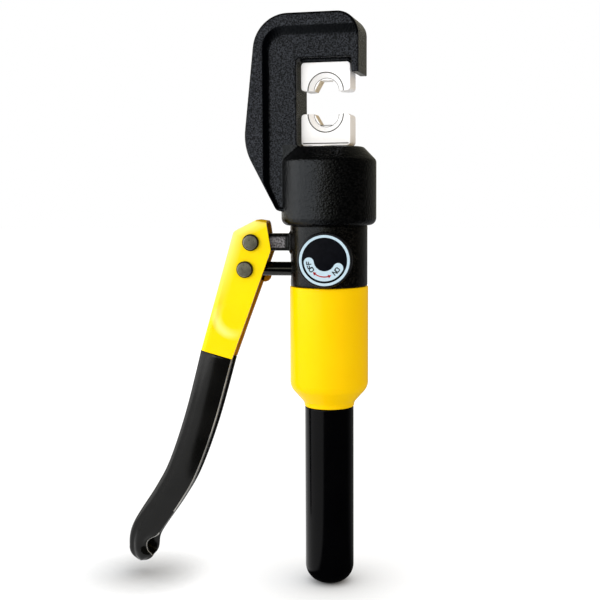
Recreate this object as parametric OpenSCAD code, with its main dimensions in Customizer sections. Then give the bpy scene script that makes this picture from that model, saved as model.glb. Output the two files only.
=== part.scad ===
// Hand operated hydraulic crimping tool: a swivelling C-head with hex dies on a
// pump body, pumped by a folded lever beside a fixed handle that holds the oil.
// The tool axis is Z, the lever is on the -X side and the release knob faces -Y.
// The origin is on the tool axis at the middle of the fixed grip's straight wall.

/* [Fixed handle] */
// Outer radius of the vinyl grip
grip_r = 13.6; // [13:0.1:15]
// Thickness of the vinyl over the handle tube
grip_t = 2.6; // [1.5:0.1:3.5]
// Length of the grip's straight wall
grip_len = 90; // [75:1:110]
// Height of the rounded butt under the straight wall
butt_h = 11; // [11:0.5:16]
// Rounding radius of the butt
butt_round = 10.2; // [6:0.1:10.5]
// Wall of the steel handle tube
tube_t = 2; // [1.2:0.1:3]
// Thickness of the plug in the tube's lower end
plug_h = 6; // [3:0.5:10]

/* [Reservoir housing] */
// How far the housing stands proud of the pump body
shell_step = 0.4; // [0.2:0.1:1.5]
// Wall of the housing
shell_t = 2.2; // [1.6:0.1:2.6]
// Length of the housing's straight barrel
barrel_len = 53.5; // [46:0.5:65]
// Height of the taper under the barrel
taper_h = 11; // [9:0.5:14]
// Height of the skirt that meets the grip
skirt_h = 3; // [2:0.5:6]
// How far the skirt stands proud of the grip
skirt_step = 0.3; // [0.1:0.1:0.8]
// Rounding of the taper's corners
taper_round = 4; // [2:0.1:6]
// Wall of the rubber oil bladder
bladder_t = 1.4; // [1:0.1:1.8]
// Gap between bladder and housing
bladder_gap = 1.9; // [1.2:0.1:2.5]
// Radial thickness of the bladder's clamp band
clamp_t = 1.4; // [0.8:0.1:1.8]
// Height of the bladder's clamp band
clamp_h = 3; // [2:0.5:4]

/* [Pump body] */
// Radius of the cast pump body
body_r = 21.3; // [20.5:0.1:22.5]
// Visible height of the pump body
body_h = 33.5; // [30:0.5:38]
// Depth of the spigot inside the housing
spigot_h = 8; // [5:0.5:10]
// Radius of the boss that carries the bladder
boss_r = 13; // [11:0.5:13]
// Height of the boss
boss_h = 6.5; // [5:0.5:8]
// How far the cylinder floor lies below the head's collar
floor_drop = 1; // [0.2:0.1:1.5]
// Radius of the hydraulic cylinder's bore
bore_r = 16; // [15.8:0.1:17]
// Wall of the neck round the bore
neck_t = 5; // [4:0.1:6]

/* [Lever pivots] */
// Distance of the fulcrum pin from the tool axis
fulcrum_reach = 42.3; // [40:0.1:45]
// Height of the plunger axis above the housing
plunger_up = 9.4; // [9.4:0.1:10.4]
// Height of the fulcrum pin above the plunger pin
pin_rise = 14.9; // [14.9:0.1:16]
// How far the plunger pin lies outside the fulcrum pin
pin_out = 3.4; // [2.5:0.1:4]
// Radius of the lever pins
pin_r = 2.5; // [2:0.1:3]
// Radius of the pin heads
pin_head_r = 4.6; // [3.3:0.1:5]
// Height of the pin heads
pin_head_h = 2.6; // [1.5:0.1:3.5]
// Height of the fulcrum lug
lug_h = 9.6; // [8.5:0.1:10]
// How far the lug's root lies below the head's collar
lug_drop = 4.4; // [3:0.1:6]
// Thickness of the fulcrum lug
lug_t = 9; // [7:0.5:10]

/* [Plunger] */
// Radius of the pump plunger
plunger_r = 3.9; // [3.4:0.1:4.2]
// Wall of the gland bush round the plunger
gland_t = 3; // [2:0.1:3]
// Length of the gland bush
gland_len = 6; // [4:0.5:7]
// Length of the plunger seal
seal_len = 2.5; // [1.5:0.1:3.5]
// How far the pump chamber reaches past the tool axis
chamber_past = 2; // [1.5:0.1:4]

/* [Valves] */
// Radius of the valve balls
ball_r = 2; // [1.7:0.1:2.2]
// Radius of the oil drillings
drill_r = 1.2; // [0.8:0.1:1.4]
// Radius of the valve bores
valve_r = 2.6; // [2.4:0.1:2.8]
// Metal left between a valve seat and the pump chamber
seat_t = 2.6; // [2:0.1:3]
// Length of the hollow plug over the pressure valve
outlet_plug_h = 4; // [3:0.5:6]
// Length of the seat screwed in under the suction valve
inlet_seat_h = 8; // [6:0.5:9]
// Wire of the valve springs
valve_wire = 0.5; // [0.3:0.05:0.6]

/* [Release knob] */
// Gap between the knob and the housing under it
knob_low_gap = 0.6; // [0.4:0.1:2]
// Gap between the knob and the collar over it
knob_high_gap = 3.3; // [2:0.1:5]
// Thickness of the knob
knob_h = 8.5; // [7:0.1:10]
// Depth of the flat spot that the knob is set into
spot_depth = 6.3; // [5.3:0.1:7.3]
// Radius of the release valve stem
stem_r = 3.95; // [3:0.05:4.5]
// Width of the knob's edge round the printed label
label_edge = 0.9; // [0.9:0.1:3]
// Thickness of the label
label_t = 0.4; // [0.3:0.1:0.8]

/* [C-head] */
// Turn of the head on the neck, seen from above
head_turn = -6.5; // [-180:0.5:180]
// Wall of the collar round the neck
collar_t = 5.1; // [4.5:0.1:7]
// Rounding of the collar's lower edge
collar_round = 4; // [1:0.1:4.5]
// Rounding of the collar's shoulder
shoulder_round = 9.5; // [5:0.1:10]
// Thickness of the bridge under the window
bridge_h = 10.3; // [8:0.1:14]
// Half width of the window
window_half = 15.1; // [14.6:0.1:17]
// Thickness of the crown over the window
crown_h = 23.8; // [20:0.1:30]
// Thickness of the nose that closes the upper die pocket
nose_t = 3.8; // [3:0.1:6]
// How far the nose hangs below the window's ceiling
nose_drop = 8.1; // [5:0.1:12]
// Width of the head's back at its widest
back_w = 29.5; // [27:0.5:36]
// Width of the head's back at the crown
back_top_w = 21.8; // [20:0.1:26]
// How far the heel of the back stands out of the collar
heel_out = 0.3; // [0.1:0.1:3]
// Depth of the heel below the window's floor
heel_drop = 34.4; // [30:0.1:36]
// Rounding of the crown's corner over the nose
nose_round = 11.5; // [8:0.5:16]
// Rounding of the crown's corner over the back
crown_round = 19.5; // [14:0.5:22]
// Rounding of the back where it is widest
bulge_round = 30; // [20:1:40]
// Rounding of the heel
heel_round = 3; // [2:0.5:5]
// Thickness of the head over its rim
rim_t = 30; // [28:0.5:34]
// Thickness of the web inside the rim
web_t = 25; // [20:0.5:27]
// Width of the rim along the back
rim_w = 11.5; // [9:0.1:13]
// Height of the rim along the crown
rim_top = 7; // [5:0.1:10]
// Width of the sloped band inside the rim
band_w = 3.6; // [2:0.1:5]
// Height of the sloped band under the crown's rim
band_top = 6.3; // [3:0.1:8]
// Wall of the ram guide bush
bush_t = 3; // [2:0.1:3.4]

/* [Dies and ram] */
// Width of the dies
die_w = 27.2; // [24:0.1:28]
// Thickness of the dies
die_t = 15; // [12:0.5:20]
// Height of the lower die
lower_die_h = 17; // [14:0.1:20]
// Height of the upper die
upper_die_h = 15.2; // [13:0.1:20]
// Rounding of the dies' outer corners
die_round = 2.6; // [1:0.1:4]
// Half width of the hex nest across its corners
hex_half = 6.7; // [4:0.1:8]
// Radius of the countersink round the nest
nest_r = 9.6; // [9:0.1:10.5]
// Depth of the countersink
nest_depth = 2.6; // [1:0.1:4]
// Radius of the die shanks
shank_r = 5; // [3.5:0.1:6]
// Length of the die shanks
shank_len = 10; // [7:0.5:12]
// Height of the seat pad above the upper die
pad_h = 2; // [1:0.1:3]
// Stroke of the ram
stroke = 12; // [9:0.5:13]
// Radius of the ram's rod
rod_r = 12.5; // [12:0.1:12.6]
// Height of the piston flange
piston_h = 8.2; // [7.5:0.1:12]
// How far the ram stands proud of the window's floor
ram_proud = 0.4; // [0.2:0.1:1]
// Wire of the return spring
spring_wire = 2.1; // [1.6:0.1:2.1]
// Length of the return spring with the ram down
spring_len = 25; // [25:0.5:32]

/* [Pump lever] */
// Thickness of the lever's folded sheet
sheet_t = 2.5; // [1.5:0.1:3]
// Outside width of the folded channel
channel_w = 17; // [16:0.1:19]
// Width of the lever where the grip begins, seen from the side
lever_w = 18.6; // [16:0.1:20]
// Share of its width that the lever loses down to its toe
toe_narrow = 0.17; // [0:0.01:0.25]
// Thickness of the vinyl dip over the lever
dip_t = 1.2; // [0.8:0.1:1.6]
// Swing of the lever away from its rest, in degrees
lever_swing = 30; // [20:1:32]
// Radius of the rounded ear on the far cheek
ear_r = 3.6; // [2.5:0.1:4]

/* [Fits] */
// Radial clearance of sliding and turning fits
run_fit = 0.05; // [0.02:0.01:0.09]
// Radial clearance of fixed fits
fixed_fit = 0.02; // [0.01:0.01:0.05]
// Gap between pieces that move past each other
move_gap = 0.3; // [0.2:0.05:0.5]

/* [Hidden] */
$fn = 96;
past = 1;
nick = 0.01;
far = 60;
cast_black = [0.13, 0.13, 0.15];
vinyl_black = [0.06, 0.06, 0.07];
paint_yellow = [0.98, 0.82, 0.02];
plated = [0.82, 0.82, 0.8];
bright_steel = [0.62, 0.62, 0.6];
dark_steel = [0.3, 0.3, 0.28];
seal_rubber = [0.1, 0.1, 0.1];
nitrile_green = [0.2, 0.24, 0.22];
brass_gold = [0.75, 0.6, 0.25];
label_blue = [0.84, 0.93, 0.96];

// Radii along the tool axis
tube_r = grip_r - grip_t;
tube_in = tube_r - tube_t;
skirt_r = grip_r + skirt_step;
shell_r = body_r + shell_step;
shell_in = shell_r - shell_t;
neck_r = bore_r + neck_t;
collar_in = neck_r + run_fit;
collar_r = collar_in + collar_t;
bladder_r = shell_in - bladder_gap;
lip_round = 0.6;

// Heights along the tool axis, from the butt to the crown
z_butt = -grip_len / 2 - butt_h;
z_tube = -grip_len / 2;
z_skirt = grip_len / 2;
z_taper = z_skirt + skirt_h;
z_barrel = z_taper + taper_h;
z_shell = z_barrel + barrel_len;
z_spigot = z_shell - spigot_h;
z_boss = z_spigot - boss_h;
z_collar = z_shell + body_h;
z_plunger = z_shell + plunger_up;
plunger_bore_r = plunger_r + run_fit;
z_outlet = z_plunger + plunger_bore_r + seat_t;
ball_lift = sqrt(ball_r * ball_r - drill_r * drill_r);
z_outlet_spring = z_outlet + ball_lift + ball_r;
z_floor = z_collar - floor_drop;
z_piston = z_floor + move_gap;
z_piston_top = z_piston + piston_h;
z_bridge = z_piston_top + spring_len;
z_neck = z_bridge - move_gap;
z_window = z_bridge + bridge_h;
z_ram = z_window + ram_proud;

// The window's height follows from the dies, the stroke and the seat pad
die_gap = stroke + move_gap;
window_h = ram_proud + lower_die_h + die_gap + upper_die_h + pad_h;
head_h = window_h + crown_h;
z_pad = z_window + window_h - pad_h;
nose_x = window_half + nose_t;
shank_bore_r = shank_r + run_fit;
bush_r = rod_r + run_fit + bush_t;
bush_lip = 2;
ring_h = 1.2;
ring_bite = 0.8;
z_pad_ring = z_pad + shank_len / 2;
z_ram_ring = z_ram - shank_len / 2;

// Pump, lever and knob axes
z_fulcrum = z_plunger + pin_rise;
x_fulcrum = -fulcrum_reach;
x_pin = x_fulcrum - pin_out;
knob_r = (body_h - knob_low_gap - knob_high_gap) / 2;
label_r = knob_r - label_edge;
z_knob = z_shell + knob_low_gap + knob_r;
gland_r = plunger_bore_r + gland_t;
gland_x = -sqrt(body_r * body_r - gland_r * gland_r);
x_seal = gland_x + gland_len;
seal_step = 1;
seal_r = gland_r - seal_step;
valve_turns = 4;
z_inlet_top = z_plunger - plunger_bore_r - seat_t;
z_inlet_seat = z_boss + inlet_seat_h;
seat_head_h = 2.5;
seat_head_out = 2;
strainer_in = valve_r + seat_head_out;
strainer_t = 0.8;
strainer_h = 6;
strainer_hole = 0.5;
spot_r = knob_r + move_gap;
knob_off = 0.5;
knob_round = 0.8;
spot_y = body_r - spot_depth;
knob_back = spot_y + knob_off;
knob_front = knob_back + knob_h;
stem_bore_r = stem_r + run_fit;
stem_seat = 8;
oil_run = 3;
seal_in = 0.6;
seal_w = 1.6;
seal_bite = 1;
screw_head_r = 3.6;
screw_head_h = 2;
screw_r = 1.8;
screw_len = 6.5;
screw_web = 2;
stem_head = knob_front - label_t - screw_head_h - screw_web;
y_screw = knob_front - label_t - screw_head_h;

// Lever sizes: the channel is folded round its outer edge and open to the body
cheek_in = channel_w / 2 - sheet_t;
lap_len = 6;
dip_step = 0.3;
ear_at = [5.2, -19.2];
dip_half = channel_w / 2 + dip_step;
steel_half = lever_w / 2 - dip_t;
// Middle line of the gripped part, from the fulcrum pin to the toe
lever_path = [[-20.4, -62.7], [-30.2, -98.3], [-40.5, -127.1], [-49.6, -143.9], [-64, -165.8],
    [-66.4, -176.8]];
lever_dir = lever_path[1] - lever_path[0];
lever_side = [-lever_dir[1], lever_dir[0]] / norm(lever_dir);
border_in = lever_path[0] + lever_side * lever_w / 2;
border_out = lever_path[0] - lever_side * lever_w / 2;
// Painted upper part, from the fulcrum pin, clockwise from its outer shoulder
cheek = [[-10.3, 5.9], [3, 12.6], [8.4, 11.7], [11, -4.4], border_in, border_out];
cheek_round = [3, 4, 2, 5, 0, 0];

// Small shape helpers
function unit(v) = v / norm(v);
function turn_between(a, b) = (b - a + 540) % 360 - 180;
function arc_at(a, b, c, r) =
    let (u = unit(a - b), v = unit(c - b), half = acos(u * v) / 2)
    let (mid = b + unit(u + v) * r / sin(half))
    let (p = b + u * r / tan(half) - mid, q = b + v * r / tan(half) - mid)
    let (start = atan2(p[1], p[0]), turn = turn_between(start, atan2(q[1], q[0])))
    let (steps = ceil(abs(turn) / 9))
    [for (i = [0:steps]) mid + r * [cos(start + turn * i / steps), sin(start + turn * i / steps)]];
function rounded(points, radii) =
    let (n = len(points))
    [for (i = [0:n - 1])
        each (radii[i] == 0 ? [points[i]]
            : arc_at(points[(i + n - 1) % n], points[i], points[(i + 1) % n], radii[i]))];
function spline_point(p, i, t) =
    let (n = len(p) - 1)
    let (a = p[max(i - 1, 0)], b = p[i], c = p[min(i + 1, n)], d = p[min(i + 2, n)])
    (2 * b + (c - a) * t + (2 * a - 5 * b + 4 * c - d) * t * t
        + (3 * b - a - 3 * c + d) * t * t * t) / 2;
function spline(p, steps) =
    [for (i = [0:len(p) - 2]) for (k = [0:steps - 1]) spline_point(p, i, k / steps), p[len(p) - 1]];
function side_of(p, i) =
    let (d = unit(p[min(i + 1, len(p) - 1)] - p[max(i - 1, 0)]))
    [-d[1], d[0]];
function beside(p, shift) =
    [for (i = [0:len(p) - 1]) p[i] + side_of(p, i) * shift * (1 - toe_narrow * i / (len(p) - 1))];
function reversed(p) = [for (i = [len(p) - 1:-1:0]) p[i]];
function toe_arc(p, half) =
    let (s = side_of(p, len(p) - 1), start = atan2(s[1], s[0]), r = half * (1 - toe_narrow))
    [for (i = [1:11]) p[len(p) - 1] + r * [cos(start - i * 15), sin(start - i * 15)]];
lever_line = spline(lever_path, 6);

module ring(r_out, r_in, z0, z1) {
    difference() {
        translate([0, 0, z0]) cylinder(r = r_out, h = z1 - z0);
        translate([0, 0, z0 - past]) cylinder(r = r_in, h = z1 - z0 + 2 * past);
    }
}

module drum(r, z0, z1) {
    translate([0, 0, z0]) cylinder(r = r, h = z1 - z0);
}

module across_x(r, x0, x1, z) {
    translate([x0, 0, z]) rotate([0, 90, 0]) cylinder(r = r, h = x1 - x0);
}

module across_y(r, y0, y1, x, z) {
    translate([x, y0, z]) rotate([-90, 0, 0]) cylinder(r = r, h = y1 - y0);
}

// An outline in X and Z, extruded evenly to both sides of the lever plane
module plate(points, y0, y1) {
    translate([0, y1, 0]) rotate([90, 0, 0]) linear_extrude(y1 - y0) polygon(points);
}

// A helical spring: rings of wire points joined into one closed tube
coil_steps = 12;

module coil(r, wire, z0, z1, turns) {
    sides = 6;
    rings = turns * coil_steps;
    pitch = (z1 - z0 - wire) / rings;
    points = [for (i = [0:rings]) for (k = [0:sides - 1])
        let (a = i * 360 / coil_steps, b = k * 360 / sides, reach = r + wire / 2 * cos(b))
        [reach * cos(a), reach * sin(a), z0 + wire / 2 + i * pitch + wire / 2 * sin(b)]];
    walls = [for (i = [0:rings - 1]) for (k = [0:sides - 1])
        let (a = i * sides + k, b = i * sides + (k + 1) % sides)
        each [[a, b, a + sides], [b, b + sides, a + sides]]];
    caps = [for (k = [1:sides - 2]) each [[0, k + 1, k],
        [rings * sides, rings * sides + k, rings * sides + k + 1]]];
    polyhedron(points, concat(walls, caps));
}

// Fixed handle and reservoir

module fixed_grip() {
    outline = rounded([[0, z_butt], [grip_r, z_butt], [grip_r, z_skirt], [0, z_skirt]],
        [0, butt_round, 0, 0]);
    color(vinyl_black)
        difference() {
            rotate_extrude() polygon(outline);
            drum(tube_r + fixed_fit, z_tube, z_skirt + past);
        }
}

module handle_tube() {
    color(dark_steel) ring(tube_r, tube_in, z_tube, z_taper + shell_t);
}

module tube_plug() {
    color(dark_steel) drum(tube_in - fixed_fit, z_tube, z_tube + plug_h);
}

module reservoir_shell() {
    outside = rounded([[0, z_skirt], [skirt_r, z_skirt], [skirt_r, z_taper], [shell_r, z_barrel],
        [shell_r, z_shell], [0, z_shell]], [0, lip_round, taper_round / 2, taper_round, lip_round, 0]);
    inside = [[0, z_taper + shell_t], [tube_r, z_taper + shell_t], [shell_in, z_barrel],
        [shell_in, z_shell + past], [0, z_shell + past]];
    color(paint_yellow)
        difference() {
            rotate_extrude() polygon(outside);
            rotate_extrude() polygon(inside);
            drum(tube_r + fixed_fit, z_skirt - past, z_barrel);
        }
}

module oil_bladder() {
    neck_in = boss_r + fixed_fit;
    bottom = z_barrel + bladder_gap;
    slope = bladder_r - neck_in - bladder_t;
    inner = bladder_r - bladder_t;
    color(nitrile_green)
        rotate_extrude()
            polygon([[0, bottom], [bladder_r - slope, bottom], [bladder_r, bottom + slope],
                [bladder_r, z_boss - slope], [neck_in + bladder_t, z_boss], [neck_in + bladder_t, z_spigot],
                [neck_in, z_spigot], [neck_in, z_boss - bladder_t / 2],
                [inner, z_boss - bladder_t / 2 - slope], [inner, bottom + bladder_t / 2 + slope],
                [inner - slope, bottom + bladder_t], [0, bottom + bladder_t]]);
}

module bladder_clamp() {
    band_in = boss_r + bladder_t + 2 * fixed_fit;
    z_mid = (z_boss + z_spigot) / 2;
    color(bright_steel) ring(band_in + clamp_t, band_in, z_mid - clamp_h / 2, z_mid + clamp_h / 2);
}

// Pump body

module pump_body() {
    color(cast_black)
        difference() {
            union() {
                drum(boss_r, z_boss, z_spigot);
                drum(shell_in - fixed_fit, z_spigot, z_shell);
                drum(body_r, z_shell, z_collar - move_gap);
                drum(neck_r, z_collar - move_gap, z_neck);
                fulcrum_lug();
            }
            drum(bore_r, z_floor, z_neck + past);
            retaining_groove();
            plunger_drillings();
            valve_drillings();
            release_drillings();
        }
}

module fulcrum_lug() {
    low = z_fulcrum - lug_h / 2;
    root = z_collar - lug_drop;
    inside = -body_r / 2;
    plate([[x_fulcrum, low], [inside, low], [inside, root], [-collar_r - move_gap, root],
        [x_fulcrum, low + lug_h]], -lug_t / 2, lug_t / 2);
    across_y(lug_h / 2, -lug_t / 2, lug_t / 2, x_fulcrum, z_fulcrum);
}

module retaining_groove() {
    ring(neck_r + past, neck_r - keeper_bite, z_keeper - fixed_fit, z_keeper + keeper_w + fixed_fit);
}

module plunger_drillings() {
    across_x(plunger_bore_r, x_seal, chamber_past, z_plunger);
    across_x(seal_r + fixed_fit, x_seal, x_seal + seal_len + fixed_fit, z_plunger);
    across_x(gland_r + fixed_fit, gland_x - far, x_seal, z_plunger);
    across_y(pin_r + run_fit, -lug_t, lug_t, x_fulcrum, z_fulcrum);
}

module valve_drillings() {
    drum(drill_r, z_boss + past, z_floor + past);
    drum(valve_r + fixed_fit, z_outlet, z_floor + past);
    drum(valve_r + fixed_fit, z_boss - past, z_inlet_top);
}

module release_drillings() {
    across_y(spot_r, -far, -spot_y, 0, z_knob);
    across_y(stem_bore_r, -spot_y - past, -stem_seat, 0, z_knob);
    across_y(drill_r, -stem_seat - past, -stem_seat + oil_run, 0, z_knob);
    translate([0, oil_run - stem_seat, 0]) drum(drill_r, z_knob, z_floor + past);
    translate([0, -stem_seat - drill_r, 0]) drum(drill_r, z_boss - past, z_knob);
}

keeper_w = 2;
keeper_bite = 1;
keeper_gap = 3;
z_keeper = (z_collar + z_bridge) / 2;

module retaining_ring() {
    color(bright_steel)
        difference() {
            ring(neck_r + keeper_bite, neck_r - keeper_bite + fixed_fit, z_keeper, z_keeper + keeper_w);
            translate([0, -keeper_gap / 2, z_keeper - past]) cube([far, keeper_gap, keeper_w + 2 * past]);
        }
}

module plunger_gland() {
    color(bright_steel)
        difference() {
            across_x(gland_r, gland_x, x_seal, z_plunger);
            across_x(plunger_bore_r, gland_x - past, x_seal + past, z_plunger);
        }
}

module plunger_seal() {
    color(seal_rubber)
        difference() {
            across_x(seal_r, x_seal, x_seal + seal_len, z_plunger);
            across_x(plunger_bore_r, x_seal - past, x_seal + seal_len + past, z_plunger);
        }
}

module inlet_seat() {
    color(brass_gold)
        difference() {
            union() {
                drum(valve_r, z_boss, z_inlet_seat);
                drum(strainer_in - fixed_fit, z_boss - seat_head_h, z_boss);
            }
            drum(drill_r, z_boss - seat_head_h - past, z_inlet_seat + past);
        }
}

module inlet_ball() {
    color(plated) translate([0, 0, z_inlet_seat + ball_lift + fixed_fit]) sphere(r = ball_r);
}

module inlet_spring() {
    color(bright_steel)
        coil(drill_r + valve_wire, valve_wire, z_inlet_seat + ball_lift + ball_r, z_inlet_top, valve_turns);
}

module strainer() {
    z_bottom = z_boss - strainer_h;
    color(bright_steel)
        difference() {
            drum(strainer_in + strainer_t, z_bottom, z_boss);
            drum(strainer_in, z_bottom + strainer_t, z_boss + past);
            for (a = [0:30:150])
                rotate([0, 0, a])
                    across_x(strainer_hole, -strainer_in * 2, strainer_in * 2, z_bottom + strainer_h / 3);
        }
}

module outlet_ball() {
    color(plated) translate([0, 0, z_outlet + ball_lift + fixed_fit]) sphere(r = ball_r);
}

module outlet_spring() {
    color(bright_steel)
        coil(drill_r + valve_wire, valve_wire, z_outlet_spring, z_floor - outlet_plug_h, valve_turns);
}

module outlet_plug() {
    color(bright_steel) ring(valve_r, drill_r, z_floor - outlet_plug_h, z_floor);
}

module release_ball() {
    color(plated) translate([0, -stem_seat - ball_lift - fixed_fit, z_knob]) sphere(r = ball_r);
}

// Release knob

module valve_stem() {
    tip = stem_seat + ball_lift + ball_r + move_gap;
    groove = seal_in - spot_y;
    color(bright_steel)
        difference() {
            across_y(stem_r, -stem_head, -tip, 0, z_knob);
            difference() {
                across_y(stem_r + past, groove, groove + seal_w, 0, z_knob);
                across_y(stem_r - seal_bite, groove - past, groove + seal_w + past, 0, z_knob);
            }
            across_y(screw_r + fixed_fit, -stem_head - past, screw_len - y_screw + fixed_fit, 0, z_knob);
        }
}

module stem_seal() {
    groove = seal_in - spot_y;
    color(seal_rubber)
        difference() {
            across_y(stem_r, groove + fixed_fit, groove + seal_w - fixed_fit, 0, z_knob);
            across_y(stem_r - seal_bite + fixed_fit, groove - past, groove + seal_w + past, 0, z_knob);
        }
}

module release_knob() {
    profile = rounded([[0, 0], [knob_r, 0], [knob_r, knob_h], [0, knob_h]], [0, knob_round, knob_round, 0]);
    color(vinyl_black)
        difference() {
            translate([0, -knob_back, z_knob]) rotate([90, 0, 0]) rotate_extrude() polygon(profile);
            across_y(label_r + fixed_fit, -far, -knob_front + label_t, 0, z_knob);
            across_y(stem_r + fixed_fit, -stem_head - fixed_fit, 0, 0, z_knob);
            across_y(screw_r + fixed_fit, -far, 0, 0, z_knob);
            across_y(screw_head_r + fixed_fit, -far, -y_screw, 0, z_knob);
        }
}

module knob_screw() {
    color(plated) {
        across_y(screw_head_r, -knob_front + label_t, -y_screw, 0, z_knob);
        across_y(screw_r, -y_screw, screw_len - y_screw, 0, z_knob);
    }
}

module knob_label() {
    color(label_blue) across_y(label_r, -knob_front, -knob_front + label_t, 0, z_knob);
}

// Crimping head

back_x = -window_half - back_w;
window_round = 2.5;
foot_x = window_half - window_round;
heel_run = 7;
heel_fall = 1.6;
knee_share = 0.6;
web_round = 11;
web_margin = 2.5;
web_lean = 0.43;
heel_end = heel_drop + heel_fall;
head_outline = rounded(
    [[foot_x, 0], [nose_x, 0], [nose_x, head_h], [-window_half - back_top_w, head_h],
        [back_x, 0], [-collar_r - heel_out, -heel_drop], [heel_run - collar_r - heel_out, -heel_end],
        [foot_x, -heel_end]],
    [0, 0, nose_round, crown_round, bulge_round, heel_round, 0, 0]);
window_outline = rounded(
    [[-window_half, 0], [far, 0], [far, window_h - nose_drop], [window_half, window_h - nose_drop],
        [window_half, window_h], [-window_half, window_h]],
    [window_round, 0, 0, 0, window_round / 2, window_round]);
web_knee = heel_drop * knee_share;
web_end = heel_end - web_margin;
web_slant = (web_end - web_knee) * web_lean;
function web_outline(left, top, corner) = rounded(
    [[far, top], [left, top], [left, -web_knee], [left + web_slant, -web_end], [far, -web_end]],
    [0, corner, web_round * 0.7, 0, 0]);

module web_recess() {
    left = back_x + rim_w;
    top = head_h - rim_top;
    hull() {
        plate(web_outline(left, top, web_round), -rim_t / 2 - past, -rim_t / 2);
        plate(web_outline(left + band_w, top - band_top, web_round - band_w), -web_t / 2 - nick, -web_t / 2);
    }
}

module head_plate() {
    difference() {
        plate(head_outline, -rim_t / 2, rim_t / 2);
        web_recess();
        mirror([0, 1, 0]) web_recess();
        plate(window_outline, -rim_t, rim_t);
    }
}

module collar_solid() {
    depth = z_window - z_collar;
    rotate_extrude()
        polygon(rounded([[0, -depth], [collar_r, -depth], [collar_r, 0], [0, 0]],
            [0, collar_round, shoulder_round, 0]));
}

module c_head() {
    pad_low = window_h - pad_h;
    color(cast_black)
        rotate([0, 0, head_turn])
        difference() {
            translate([0, 0, z_window]) {
                head_plate();
                collar_solid();
                translate([-die_w / 2, -die_t / 2, pad_low]) cube([die_w, die_t, pad_h + past]);
            }
            drum(collar_in, z_collar - past, z_bridge);
            drum(neck_r + keeper_bite + move_gap, z_keeper - move_gap, z_keeper + keeper_w + move_gap);
            drum(bush_r + bush_lip + fixed_fit, z_bridge - past, z_bridge + bush_lip);
            drum(bush_r + fixed_fit, z_bridge, z_window + past);
            drum(shank_bore_r, z_pad - past, z_pad + shank_len + past);
            die_ring_groove(z_pad_ring);
        }
}

module die_ring_groove(z) {
    drum(shank_bore_r + ring_bite, z - fixed_fit, z + ring_h + fixed_fit);
}

module ram_guide_bush() {
    color(brass_gold)
        difference() {
            union() {
                drum(bush_r + bush_lip, z_bridge, z_bridge + bush_lip);
                drum(bush_r, z_bridge, z_window);
            }
            drum(rod_r + run_fit, z_bridge - past, z_window + past);
        }
}

// One half of the hex nest: a block with its parting face at zero height
module die_block(height) {
    hex_deep = hex_half * sqrt(3) / 2;
    difference() {
        plate(rounded([[-die_w / 2, -height], [die_w / 2, -height], [die_w / 2, 0], [-die_w / 2, 0]],
            [die_round, die_round, die_round, die_round]), -die_t / 2, die_t / 2);
        plate([[-hex_half - past, past], [-hex_half, 0], [-hex_half / 2, -hex_deep],
            [hex_half / 2, -hex_deep], [hex_half, 0], [hex_half + past, past]], -die_t, die_t);
        for (side = [0, 1])
            mirror([0, side, 0])
                translate([0, -die_t / 2 - nick, 0])
                rotate([-90, 0, 0])
                cylinder(r1 = nest_r, r2 = nest_r - nest_depth, h = nest_depth);
    }
}

module die_shank(z0, z_groove) {
    difference() {
        drum(shank_r, z0, z0 + shank_len);
        ring(shank_r + past, shank_r - ring_bite, z_groove - fixed_fit, z_groove + ring_h + fixed_fit);
    }
}

module die_ring(z) {
    ring(shank_bore_r + ring_bite - fixed_fit, shank_r - ring_bite + fixed_fit, z, z + ring_h);
}

module upper_die() {
    color(plated)
        rotate([0, 0, head_turn]) {
            translate([0, 0, z_pad - upper_die_h]) mirror([0, 0, 1]) die_block(upper_die_h);
            die_shank(z_pad, z_pad_ring);
        }
}

module upper_die_ring() {
    color(bright_steel) die_ring(z_pad_ring);
}

module lower_die() {
    color(plated)
        rotate([0, 0, head_turn]) {
            translate([0, 0, z_ram + lower_die_h]) die_block(lower_die_h);
            die_shank(z_ram - shank_len, z_ram_ring);
        }
}

module lower_die_ring() {
    color(bright_steel) die_ring(z_ram_ring);
}

// Ram

seal_h = 3;
seal_deep = 3;
backup_h = 1.2;
seal_z = z_piston + (piston_h - seal_h - backup_h) / 2;
groove_r = bore_r - seal_deep;

module ram() {
    color(bright_steel)
        difference() {
            union() {
                drum(bore_r - run_fit, z_piston, z_piston_top);
                drum(rod_r, z_piston_top, z_ram);
            }
            ring(bore_r + past, groove_r, seal_z, seal_z + seal_h + backup_h + 2 * fixed_fit);
            drum(shank_bore_r, z_ram - shank_len - past, z_ram + past);
            die_ring_groove(z_ram_ring);
        }
}

module piston_seal() {
    color(seal_rubber) ring(bore_r - run_fit, groove_r + fixed_fit, seal_z + fixed_fit, seal_z + seal_h);
}

module backup_ring() {
    base = seal_z + seal_h + fixed_fit;
    color(plated) ring(bore_r - run_fit, groove_r + fixed_fit, base, base + backup_h);
}

spring_turns = 5;
// The flats between the coil's steps come nearest to the rod
spring_in = (rod_r + move_gap) / cos(180 / coil_steps);

module return_spring() {
    color(bright_steel)
        coil(spring_in + spring_wire / 2, spring_wire, z_piston_top + run_fit, z_bridge - run_fit,
            spring_turns);
}

// Pump lever

module lever_steel() {
    lap = lever_path[0] - unit(lever_dir) * lap_len;
    steel_line = concat([lap], lever_line);
    hollow_line = concat([lap - unit(lever_dir) * past], lever_line);
    difference() {
        plate(concat(reversed(beside(steel_line, -steel_half)), beside(steel_line, steel_half),
            toe_arc(steel_line, steel_half)), dip_t - channel_w / 2, channel_w / 2 - dip_t);
        plate(concat(reversed(beside(hollow_line, sheet_t - steel_half)), beside(hollow_line, lever_w)),
            -cheek_in, cheek_in);
    }
}

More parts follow.
